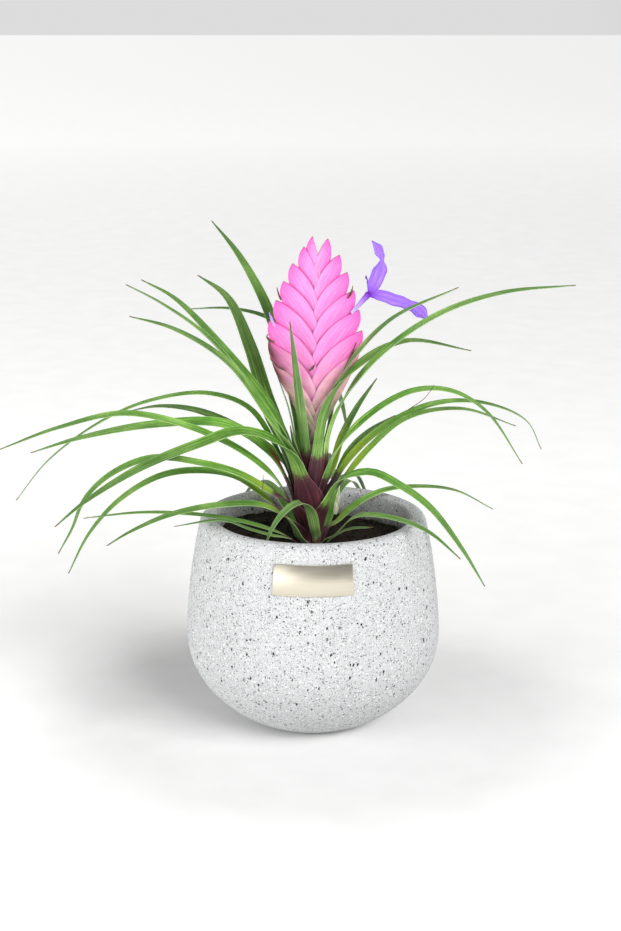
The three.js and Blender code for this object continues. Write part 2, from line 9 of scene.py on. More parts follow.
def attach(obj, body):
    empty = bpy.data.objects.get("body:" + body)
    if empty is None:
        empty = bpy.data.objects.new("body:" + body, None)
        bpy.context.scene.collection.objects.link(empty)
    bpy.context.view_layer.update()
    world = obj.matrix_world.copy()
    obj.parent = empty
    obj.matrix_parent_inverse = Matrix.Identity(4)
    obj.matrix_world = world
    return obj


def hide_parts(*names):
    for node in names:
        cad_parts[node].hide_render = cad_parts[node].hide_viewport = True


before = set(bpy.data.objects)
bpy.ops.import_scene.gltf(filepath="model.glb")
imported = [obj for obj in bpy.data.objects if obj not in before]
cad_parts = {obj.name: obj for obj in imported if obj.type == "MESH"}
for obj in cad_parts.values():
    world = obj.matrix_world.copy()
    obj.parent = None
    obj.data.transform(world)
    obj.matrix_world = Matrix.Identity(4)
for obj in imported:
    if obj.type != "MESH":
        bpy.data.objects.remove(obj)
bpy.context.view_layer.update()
print("frame loaded:", len(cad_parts), "nodes")

mm = 0.001


# Small helpers used by every piece

def colour(hexText):  # sRGB hex to the linear values that a shader takes
    parts = [int(hexText[i:i + 2], 16) / 255 for i in (1, 3, 5)]
    return [c / 12.92 if c <= 0.04045 else ((c + 0.055) / 1.055) ** 2.4 for c in parts] + [1.0]


def clamp(value, low=0.0, high=1.0):
    return max(low, min(high, value))


def mix(a, b, share):
    return a + (b - a) * share


def ease(value):
    share = clamp(value)
    return share * share * (3 - 2 * share)


def heading(degrees):
    angle = math.radians(degrees)
    return Vector((math.cos(angle), math.sin(angle), 0))


def perMetre(size):  # how often a pattern of this size in mm fits in a metre
    return 1 / (size * mm)


def openTree(owner):  # the nodes made from here on belong to this material or world
    global tree
    owner.use_nodes = True
    tree = owner.node_tree
    return owner


# inputs go by name or in the node's own order; a socket is linked, a hex text becomes its colour
def feed(node, inputs):
    for key, value in inputs.items() if isinstance(inputs, dict) else enumerate(inputs):
        if isinstance(value, bpy.types.NodeSocket):
            tree.links.new(value, node.inputs[key])
        else:
            node.inputs[key].default_value = colour(value) if isinstance(value, str) else value


def addNode(kind, inputs=(), stops=(), **settings):  # stops: a ramp's colours, as (place, hex)
    node = tree.nodes.new("ShaderNode" + kind)
    for name, value in settings.items():
        setattr(node, name, value)
    for i, (place, hexText) in enumerate(stops):
        if i >= len(node.color_ramp.elements):
            node.color_ramp.elements.new(place)
        node.color_ramp.elements[i].position = place
        node.color_ramp.elements[i].color = colour(hexText)
    feed(node, inputs)
    return node.outputs


def startMaterial(name):  # surface is the node that its colour, gloss and relief go to
    global surface
    material = openTree(bpy.data.materials.new(name))
    surface = tree.nodes["Principled BSDF"]
    return material


# one noise gives the colour, the relief and, where rough is a pair, the gloss; sizes are its own along
# each axis, in mm
def noiseMaterial(name, sizes, detail, stops, relief, depth, rough, settings=None):
    material = startMaterial(name)
    stretch = [perMetre(size) for size in sizes]
    place = addNode("Mapping", {"Vector": addNode("TexCoord")["Object"], "Scale": stretch})[0]
    grain = addNode("TexNoise", {"Vector": place, "Scale": 1, "Detail": detail})["Fac"]
    tone = addNode("ValToRGB", [grain], stops=stops)["Color"]
    if isinstance(rough, tuple):
        rough = addNode("MapRange", (grain, 0, 1, *rough))[0]
    bump = addNode("Bump", {"Height": grain, "Strength": relief, "Distance": depth})[0]
    feed(surface, {"Base Color": tone, "Roughness": rough, "Normal": bump, **(settings or {})})
    return material


def makePiece(name, points, faces, material, guides=None, sharp=50, replaced=None, slot=None):
    mesh = bpy.data.meshes.new(name)
    mesh.from_pydata([tuple(Vector(p) * mm) for p in points], [], faces)
    mesh.validate()
    work = bmesh.new()  # turns all faces outward
    work.from_mesh(mesh)
    bmesh.ops.recalc_face_normals(work, faces=work.faces)
    work.to_mesh(mesh)
    work.free()
    for layerName, values in (guides or {}).items():
        layer = mesh.uv_layers.new(name=layerName)
        for loop in mesh.loops:
            layer.data[loop.index].uv = values[loop.vertex_index]
    mesh.shade_smooth()
    mesh.set_sharp_from_angle(angle=math.radians(sharp))
    mesh.materials.append(material)
    piece = bpy.data.objects.new(name, mesh)
    bpy.context.scene.collection.objects.link(piece)
    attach(piece, "root")
    if replaced:
        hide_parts(replaced)
    return piece


def bezier(points, steps):
    a, b, c, d = [Vector(p) for p in points]
    made = []
    for i in range(steps + 1):
        t = i / steps
        s = 1 - t
        made.append(a * s ** 3 + b * 3 * s * s * t + c * 3 * s * t * t + d * t ** 3)
    return made


# a smooth course through points, and how far along it each of its places lies
def smoothCourse(points, perSpan=24):
    points = [Vector(p) for p in points]
    ends = [points[0] * 2 - points[1]] + points + [points[-1] * 2 - points[-2]]
    dense = []
    for i in range(1, len(ends) - 2):
        p = ends[i - 1:i + 3]
        knots = [0.0]
        for j in range(3):
            knots.append(knots[-1] + max((p[j + 1] - p[j]).length, 1e-6) ** 0.5)
        for step in range(perSpan):
            t = mix(knots[1], knots[2], step / perSpan)
            a = [p[j].lerp(p[j + 1], (t - knots[j]) / (knots[j + 1] - knots[j])) for j in range(3)]
            b = [a[j].lerp(a[j + 1], (t - knots[j]) / (knots[j + 2] - knots[j])) for j in range(2)]
            dense.append(b[0].lerp(b[1], (t - knots[1]) / (knots[2] - knots[1])))
    dense.append(points[-1])
    lengths = [0.0]
    for a, b in zip(dense, dense[1:]):
        lengths.append(lengths[-1] + (b - a).length)
    return dense, lengths


def courseAt(dense, lengths, distance):
    i = 1
    while i < len(lengths) - 1 and lengths[i] < distance:
        i += 1
    share = (distance - lengths[i - 1]) / max(lengths[i] - lengths[i - 1], 1e-9)
    tangent = (dense[min(i + 1, len(dense) - 1)] - dense[max(i - 2, 0)]).normalized()
    return dense[i - 1].lerp(dense[i], clamp(share)), tangent


def wallFaces(rows, count):  # the faces between rings of equal count
    faces = []
    for row in range(rows - 1):
        for i in range(count):
            j = (i + 1) % count
            a, b = row * count, (row + 1) * count
            faces.append((a + i, a + j, b + j, b + i))
    return faces


# rings of equal count become one closed skin; the ends close as strips
def skin(rings):
    count = len(rings[0])
    points = [p for ring in rings for p in ring]
    faces = wallFaces(len(rings), count)
    last = (len(rings) - 1) * count
    for i in range(count // 2 - 1):
        faces.append((i, count - 1 - i, count - 2 - i, i + 1))
        faces.append((last + i, last + i + 1, last + count - 2 - i, last + count - 1 - i))
    return points, faces


# Camera, floor and studio light

view = {"eye": (-1.36, -967.7, 396.3), "target": (-1.36, 0, 144.2), "lens": 71.05, "clip": (0.01, 100)}

camera = bpy.data.objects.new("camera", bpy.data.cameras.new("camera"))
camera.data.lens = view["lens"]
camera.data.sensor_width = 36
camera.location = Vector(view["eye"]) * mm
aim = (Vector(view["target"]) - Vector(view["eye"])).normalized()
camera.rotation_euler = aim.to_track_quat("-Z", "Y").to_euler()
camera.data.clip_start, camera.data.clip_end = view["clip"]
bpy.context.scene.collection.objects.link(camera)
bpy.context.scene.camera = camera

# a soft tent of light, two softboxes from the right front that lay a soft shadow to the left and back of
# the pot, a broad one from the left front for the plate's shine, and a low one that lifts the pot's left side
studio = {
    "tent": [(0.05, "#9a9a9b"), (0.5, "#b9b9ba"), (0.88, "#c4c4c5"), (0.96, "#ffffff")],
    "tentTurn": (-0.25, 0.96, -0.1), "tentStrength": 0.72,
    "paper": [(0.3, "#eeeeed"), (0.7, "#f3f3f2")], "paperSize": 30,
    "paperCloud": 100 / 3,  # the paper's faint clouds, in mm
    # painted light: the paper glows by its own emission, standing in for lamps out of sight; none near the
    # pot, so that its shadow stays, and more farther out: by distance from the pot, as shares of the glow's
    # reach in m, and from the pot's left to its right, brighter at the left
    "paintedGlow": [(0.03, "#000000"), (0.045, "#808080"), (0.075, "#929292"), (0.14, "#a4a4a4"), (0.25, "#a6a6a6"),
             (1.0, "#d0d0d0")],
    "glowReach": 4, "glowSides": (1.28, 0.86), "glowTurn": 0.6,
    # name, place in m, aimed at, size in m, power in W, shows as a highlight
    "lights": [
        ("keySoftbox", (2.1, -1.6, 1.7), (0, 0, 0.1), 1.3, 48, False),
        ("secondSoftbox", (1.25, -2.35, 1.6), (0, 0, 0.1), 1.3, 48, False),
        ("leftSoftbox", (-1.15, -1.45, 0.46), (0, 0, 0.1), 1.1, 10.5, True),
        ("lowSoftbox", (-1.6, -0.55, 0.28), (0, 0, 0.08), 0.6, 14, False),
    ],
}

# painted light: the pale matt paper also glows by itself, more the farther it lies from the pot
paperMaterial = startMaterial("seamlessPaperWithPaintedGlow")  # seamless paper: pale, no gloss
paperFine = studio["paperSize"] * perMetre(studio["paperCloud"])
clouds = addNode("TexNoise", {"Scale": paperFine, "Detail": 3})["Fac"]
paperTone = addNode("ValToRGB", [clouds], stops=studio["paper"])["Color"]
paperPlace = addNode("TexCoord")["Object"]
fromPot = addNode("VectorMath", [paperPlace], operation="LENGTH")["Value"]
outward = addNode("VectorMath", [paperPlace], operation="NORMALIZE")[0]
toRight = addNode("SeparateXYZ", [outward])[0]
# painted light: the glow is nothing near the pot, rises with distance and is brighter to the pot's left
paintedGlowShare = addNode("MapRange", (fromPot, 0, studio["glowReach"], 0, 1))[0]
paintedGlow = addNode("ValToRGB", [paintedGlowShare], stops=studio["paintedGlow"])["Color"]
sides = addNode("MapRange", (toRight, -studio["glowTurn"], studio["glowTurn"], *studio["glowSides"]))[0]
paintedGlow = addNode("Math", (paintedGlow, sides), operation="MULTIPLY")[0]
feed(surface, {"Base Color": paperTone, "Roughness": 0.95, "Emission Color": paperTone,
               "Emission Strength": paintedGlow})
half = studio["paperSize"] / 2
paper = bpy.data.objects.new("floor", bpy.data.meshes.new("floor"))
corners = [(-half, -half, 0), (half, -half, 0), (half, half, 0), (-half, half, 0)]
paper.data.from_pydata(corners, [], [(0, 1, 2, 3)])
paper.data.materials.append(paperMaterial)
bpy.context.scene.collection.objects.link(paper)

tent = openTree(bpy.data.worlds.new("tent"))
bpy.context.scene.world = tent
skyward = addNode("TexCoord")["Generated"]
alongTent = addNode("VectorMath", (skyward, studio["tentTurn"]), operation="DOT_PRODUCT")["Value"]
tentShare = addNode("MapRange", (alongTent, -1, 1, 0, 1))[0]
tentTone = addNode("ValToRGB", [tentShare], stops=studio["tent"])["Color"]
feed(tree.nodes["Background"], {"Color": tentTone, "Strength": studio["tentStrength"]})
for name, place, target, size, power, shows in studio["lights"]:
    lamp = bpy.data.lights.new(name, "AREA")
    lamp.shape = "DISK"
    lamp.size = size
    lamp.energy = power
    lampObject = bpy.data.objects.new(name, lamp)
    lampObject.location = place
    lampObject.visible_glossy = shows
    lampObject.rotation_euler = (Vector(target) - Vector(place)).to_track_quat("-Z", "Y").to_euler()
    bpy.context.scene.collection.objects.link(lampObject)
bpy.context.scene.view_settings.view_transform = "Standard"
print("camera, floor and light made")


# Pot

pot = {
    "footRadius": 28, "bellyRadius": 70, "bellyHeight": 50, "shoulderRadius": 62.6, "shoulderHeight": 112,
    "height": 117.5, "lipRadius": 53.5, "lipHeight": 116, "mouthRadius": 52.4, "cavityRadius": 60,
    "cavityHeight": 80, "cavityFloorRadius": 36, "floor": 12, "sides": 144,
    # how far the profile's curves reach at each of its places, sideways or up, in mm
    "footReach": 20, "footRise": 6, "bellyBelow": 24, "bellyAbove": 22, "shoulderOut": 3.4,
    "shoulderBelow": 16, "rimIn": 0.8, "rimOut": 4, "rimAbove": 0.6, "mouthBelow": 18, "cavityBelow": 40,
    "floorReach": 16, "floorRise": 3,
    # how far the cast skin strays from a true turn, how fast it strays per mm, and the height it starts above
    "wobble": 0.15, "wobbleScale": 0.045, "wobbleFrom": 12,
}


def turned(profile, sides, shape):  # a closed turned body; shape moves each of its points
    points = []
    for radius, height in profile:
        for side in range(sides):
            angle = side / sides * 2 * math.pi
            points.append(shape(Vector((radius * math.cos(angle), radius * math.sin(angle), height))))
    last = (len(profile) - 1) * sides
    ends = [tuple(reversed(range(sides))), tuple(range(last, last + sides))]
    return points, wallFaces(len(profile), sides) + ends


def castSkin(point):  # a cast wall is never quite true; the foot stays flat and the belly in its box
    fade = clamp(point.z / pot["wobbleFrom"])
    drift = (noise.noise(point * pot["wobbleScale"]) - 0.5) * pot["wobble"] * fade
    return point + Vector((point.x, point.y, 0)).normalized() * (drift - pot["wobble"] * 0.5 * fade)


p = pot
belly, shoulder = (p["bellyRadius"], p["bellyHeight"]), (p["shoulderRadius"], p["shoulderHeight"])
lip, cavity = (p["lipRadius"], p["lipHeight"]), (p["cavityRadius"], p["cavityHeight"])
potProfile = (
    bezier([(p["footRadius"], 0), (p["footRadius"] + p["footReach"], p["footRise"]),
            (belly[0], belly[1] - p["bellyBelow"]), belly], 26)
    + bezier([belly, (belly[0], belly[1] + p["bellyAbove"]),
              (shoulder[0] + p["shoulderOut"], shoulder[1] - p["shoulderBelow"]), shoulder], 20)[1:]
    + bezier([shoulder, (shoulder[0] - p["rimIn"], p["height"]),
              (lip[0] + p["rimOut"], p["height"] + p["rimAbove"]), lip], 12)[1:]
    + bezier([lip, (p["mouthRadius"], lip[1] - p["rimAbove"]),
              (p["mouthRadius"], lip[1] - p["mouthBelow"]), cavity], 10)[1:]
    + bezier([cavity, (cavity[0], cavity[1] - p["cavityBelow"]),
              (p["cavityFloorRadius"] + p["floorReach"], p["floor"] + p["floorRise"]),
              (p["cavityFloorRadius"], p["floor"])], 8)[1:]
)

# concrete cast in a mould, with dark and white grit: dull, pale, salt-and-pepper, with black flecks
stone = {
    "paste": [(0.41, "#a3a4a4"), (0.5, "#bdbebf"), (0.59, "#d8d9da")], "pasteSize": 0.5,
    "raggedSize": 0.588, "raggedReach": 1.8,  # the grains' ragged outlines: how fine and how far out, in mm
    # grains: spacing and greatest radius in mm, how rare from 0 to 1, colour, how strongly it covers, and how
    # much they are squeezed along each axis
    "grains": [(1.5, 0.5, 0.35, "#ffffff", 0.8, (1, 1.3, 0.8)),
               (1.0, 0.45, 0.35, "#808385", 0.8, (1.3, 1, 1)),
               (1.2, 0.47, 0.42, "#292b2e", 1.0, (1.7, 1, 0.9)),
               (1.5, 0.55, 0.48, "#1d1f22", 1.0, (0.8, 1, 1.8)),
               (3.2, 1.05, 0.6, "#0e0f11", 1.0, (1.6, 1.2, 0.9))],
    "grainOffset": (0.31, 0.52, 0.73),  # keeps the borders of the grains' cells off the middle plane
    "grainEdge": 0.04,
    # single flaws: place in mm, radius, how dark
    "flaws": [((61.3, -31.1, 73.7), 1.5, 0.8), ((-0.6, -67.5, 83.5), 1.1, 0.85),
              ((13.9, -67.2, 74.6), 1.2, 0.85), ((57.8, -15.5, 108.5), 1.3, 0.6),
              ((-26, -55.5, 110.5), 0.8, 0.7)],
    "flawTone": "#2a2b2c",
    # soil smeared on the wall inside the mouth, and painted shade there, darkest just above the soil: its
    # patches in mm, and in m the radius that it stays within, the height that it starts above and the one
    # that it thins out towards
    "smear": "#4a443d", "smearSize": 5.26, "smearWithin": (0.0565, 0.0545), "smearAbove": (0.09, 0.095),
    "smearFades": (0.114, 0.1), "smearCover": (0.2, 0.46, 0, 0.6),
}
stoneMaterial = startMaterial("castConcreteWithGrit")
stonePlace = addNode("TexCoord")["Object"]
ragged = addNode("TexNoise", {"Vector": stonePlace, "Scale": perMetre(stone["raggedSize"]),
                              "Detail": 2})["Color"]
strayed = (stone["raggedReach"] * mm,) * 3
shifted = addNode("VectorMath", (ragged, strayed, stonePlace), operation="MULTIPLY_ADD")[0]
paste = addNode("TexNoise", {"Vector": stonePlace, "Scale": perMetre(stone["pasteSize"]), "Detail": 6,
                             "Roughness": 0.8})["Fac"]
layers = addNode("ValToRGB", [paste], stops=stone["paste"])["Color"]
for spacing, size, rarity, tone, cover, squeeze in stone["grains"]:
    sown = addNode("Mapping", {"Vector": shifted, "Location": stone["grainOffset"], "Scale": squeeze})[0]
    cells = addNode("TexVoronoi", {"Vector": sown, "Scale": perMetre(spacing), "Randomness": 1.0})
    lot = addNode("SeparateColor", [cells["Color"]])[0]
    # a cell holds a grain only if its own lot is high, and the lot also sets the grain's size
    radius = addNode("MapRange", (lot, rarity, 1, 0, size / spacing))[0]
    depth = addNode("Math", (radius, cells["Distance"]), operation="SUBTRACT")[0]
    inside = addNode("MapRange", (depth, 0, stone["grainEdge"], 0, cover))[0]
    layers = addNode("Mix", {0: inside, 6: layers, 7: tone}, data_type="RGBA")[2]
for spot, size, cover in stone["flaws"]:
    centre = tuple((c + stone["raggedReach"] / 2) * mm for c in spot)
    away = addNode("VectorMath", (shifted, centre), operation="DISTANCE")["Value"]
    inside = addNode("MapRange", (away, size * mm, size * mm * 0.5, 0, cover))[0]
    layers = addNode("Mix", {0: inside, 6: layers, 7: stone["flawTone"]}, data_type="RGBA")[2]
wallPlace = addNode("SeparateXYZ", [stonePlace])
flatPlace = addNode("CombineXYZ", (wallPlace[0], wallPlace[1]))[0]
fromAxis = addNode("VectorMath", [flatPlace], operation="LENGTH")["Value"]
# painted shade and soil smear: the wall inside the mouth darkens in soil-coloured patches, most just above
# the soil and less towards the rim
smear = addNode("TexNoise", {"Vector": stonePlace, "Scale": perMetre(stone["smearSize"]), "Detail": 5,
                             "Roughness": 0.7})["Fac"]
fading = addNode("MapRange", (wallPlace[2], *stone["smearFades"], 0, 1))[0]
smearAndShadeShare = addNode("Math", (smear, fading), operation="MULTIPLY")[0]
smearAndShadeShare = addNode("MapRange", (smearAndShadeShare, *stone["smearCover"]))[0]
for source, ends in ((fromAxis, "smearWithin"), (wallPlace[2], "smearAbove")):
    share = addNode("MapRange", (source, *stone[ends], 0, 1))[0]
    smearAndShadeShare = addNode("Math", (smearAndShadeShare, share), operation="MULTIPLY")[0]
layers = addNode("Mix", {0: smearAndShadeShare, 6: layers, 7: stone["smear"]}, data_type="RGBA")[2]
stoneHeight = addNode("SeparateColor", [layers])[0]
stoneBump = addNode("Bump", {"Height": stoneHeight, "Strength": 0.3, "Distance": 0.0004})[0]
feed(surface, {"Base Color": layers, "Roughness": 0.88, "IOR": 1.5, "Normal": stoneBump})
makePiece("stonePot", *turned(potProfile, pot["sides"], castSkin), stoneMaterial, sharp=70, replaced="pot",
          slot="pot")
print("pot made")


# Soil

soil = {
    "nearCrown": 102.6, "atWall": 101.4, "mound": 5, "moundAzimuth": 150, "moundSpread": 55,
    "crownX": -1, "crownRadius": 18, "crownFloor": 97.5, "crownHollow": (8, 4), "wallGap": 0.35, "sides": 132,
    "lumps": [(3, 0.16, 1.1), (9, 0.42, 0.6), (21, 1.1, 0.35)],  # layer of noise, how fine, how high in mm
    "underside": [(35, 12.4), (48, 18), (57, 34), (59.5, 52), (58.6, 76), (55, 92)], "wallTop": 97.5,
    "ringStep": 1.5, "innerRadius": 5,
    # the crumbs: from where on and how far they lie, their least size and how much more, and how they are
    # squashed along each axis, knobbed, turned and sunk in
    "crumbs": 1100, "seed": 11, "crumbReach": (11.5, 40), "crumbSize": (0.35, 1.1),
    "squash": [(0.7, 1.5), (0.6, 1.1), (0.5, 0.9)], "knobs": (0.8, 0.4), "mostTurn": 6.28, "sunk": 0.25,
    "tones": [(0.3, "#120f0c"), (0.52, "#241d18"), (0.68, "#3f342b"), (0.8, "#8a7b69")],
    "clodSize": 2.38, "grainSize": 0.667,  # in mm
}


def soilHeight(x, y):
    radius = math.hypot(x, y)
    azimuth = math.degrees(math.atan2(y, x))
    away = abs((azimuth - soil["moundAzimuth"] + 540) % 360 - 180)
    nearWall = ease((radius - soil["crownRadius"]) / (pot["mouthRadius"] - soil["crownRadius"]))
    lift = soil["mound"] * math.exp(-(away / soil["moundSpread"]) ** 2) * nearWall
    lump = sum(noise.noise(Vector((x, y, layer)) * scale) * height for layer, scale, height in soil["lumps"])
    top = mix(soil["nearCrown"], soil["atWall"], nearWall) + lift + lump
    fromCrown = math.hypot(x - soil["crownX"], y)
    hollow, rim = soil["crownHollow"]
    return mix(soil["crownFloor"], top, ease((fromCrown - hollow) / rim))


def soilSkin(point):  # a point at height 0 belongs to the open surface
    return point if point.z else Vector((point.x, point.y, soilHeight(point.x, point.y)))


wallRadius = pot["mouthRadius"] - soil["wallGap"]
soilProfile = soil["underside"] + [(wallRadius, soil["wallTop"])]
radius = wallRadius
while radius > soil["innerRadius"]:
    soilProfile.append((radius, 0))
    radius -= soil["ringStep"]
soilPoints, soilFaces = turned(soilProfile, soil["sides"], soilSkin)

# loose crumbs, each a squashed knobbly ball
draw = random.Random(soil["seed"])
ball = bmesh.new()
bmesh.ops.create_icosphere(ball, subdivisions=1, radius=1)
ballPoints = [v.co.copy() for v in ball.verts]
ballFaces = [tuple(v.index for v in face.verts) for face in ball.faces]
ball.free()
for _ in range(soil["crumbs"]):
    radius = min(soil["crumbReach"][0] + soil["crumbReach"][1] * math.sqrt(draw.random()), wallRadius - 1)
    spot = heading(draw.uniform(0, 360)) * radius
    size = soil["crumbSize"][0] + soil["crumbSize"][1] * draw.random() ** 3
    angle = draw.uniform(0, soil["mostTurn"])
    turn = Matrix.Rotation(angle, 3, Vector((draw.random(), draw.random(), 1)).normalized())
    squash = Vector([draw.uniform(*ends) for ends in soil["squash"]])
    base = Vector((spot.x, spot.y, soilHeight(spot.x, spot.y) + size * soil["sunk"]))
    start = len(soilPoints)
    for corner in ballPoints:
        knob = size * (soil["knobs"][0] + soil["knobs"][1] * draw.random())
        soilPoints.append(base + turn @ (corner * squash * knob))
    soilFaces += [tuple(start + i for i in face) for face in ballFaces]

# peat-based potting mix, damp: near black, dull, with a few fibres and pale bits
soilMaterial = startMaterial("dampPottingMix")
soilPlace = addNode("TexCoord")["Object"]
clods = addNode("TexNoise", {"Vector": soilPlace, "Scale": perMetre(soil["clodSize"]), "Detail": 6,
                             "Roughness": 0.7})["Fac"]
soilTone = addNode("ValToRGB", [clods], stops=soil["tones"])["Color"]
crumbly = addNode("TexNoise", {"Vector": soilPlace, "Scale": perMetre(soil["grainSize"]), "Detail": 4})["Fac"]
soilBump = addNode("Bump", {"Height": crumbly, "Strength": 0.8, "Distance": 0.0006})[0]
feed(surface, {"Base Color": soilTone, "Roughness": 0.95, "Normal": soilBump})
makePiece("pottingSoil", soilPoints, soilFaces, soilMaterial, replaced="soil", slot="soil")
print("soil made:", len(soilFaces), "faces")


# Name plate

plate = {"width": 42, "bottom": 91.5, "top": 107.5, "thickness": 0.8, "gap": 0.3, "columns": 40, "edge": 0.2}


def potRadiusAt(height):
    for low, high in zip(potProfile, potProfile[1:]):
        if low[1] <= height <= high[1]:
            return mix(low[0], high[0], (height - low[1]) / max(high[1] - low[1], 1e-6))
    return pot["shoulderRadius"]


plateRings = []
halfSpan = math.degrees(math.asin(plate["width"] / 2 / potRadiusAt(plate["bottom"])))
low, high, thick, edge = (plate[k] for k in ("bottom", "top", "thickness", "edge"))
for column in range(plate["columns"] + 1):
    across = 2 * column / plate["columns"] - 1
    inset = edge if column in (0, plate["columns"]) else 0  # the ends stand back a little, as a rounded edge
    ring = []
    for height, offset in ((low + edge, thick), (high - edge, thick), (high, thick - edge),
                           (high, 0), (low, 0), (low, thick - edge)):
        radius = potRadiusAt(height) + plate["gap"] + max(offset - inset, 0)
        ring.append(heading(-90 + halfSpan * across) * radius + Vector((0, 0, height)))
    plateRings.append(ring)

# stamped and lacquered nickel-brass sheet: pale champagne, a soft broad shine with a fine drawn grain, which
# is drawn coarser than the real one, so that it shows
plateTones = [(0.3, "#ddd5c0"), (0.7, "#ece6d6")]
plateMaterial = noiseMaterial("satinChampagneBrass", (16.7, 16.7, 0.238), 3, plateTones, 0.06, 0.0001,
                              (0.42, 0.5), {"Metallic": 1.0, "Anisotropic": 0.3})
makePiece("namePlate", *skin(plateRings), plateMaterial, sharp=60, replaced="name_plate", slot="name_plate")
print("plate made")


# Leaves

crown = {"x": -1, "outerFoot": 88, "footRadius": 4.1, "funnelSlope": 0.25, "tierPitch": 1.12,
         "sheathLength": 18}
leafForm = {
    "sheathThickness": 0.6, "bladeThickness": 0.75, "tipThickness": 0.55, "tipWidth": 0.5, "marginShare": 0.3,
    "taper": 3, "sheathToBlade": 20, "sheathToChannel": 40, "bladeHalfAngle": 0.5, "faceTurn": 30,
    "stemwardReach": 14, "turnReach": 32, "spacing": 4, "crowding": 1.1, "segments": 8, "seed": 5,
    "maroonEnd": 26, "maroonSpread": 4,  # how far up the maroon reaches where leafMarks doesn't say, in mm
    "orangeSpot": (47, 12, 0.55, 0.15),  # its middle and half length in mm, its width and soft edge across
    "brownTip": 3,  # its length where leafMarks doesn't say, in mm
    # the veins: how long their streaks are in mm, how many lie side by side, and what sets leaves apart
    "veinReach": 40, "veinSpread": 9, "leafApart": 97,
}

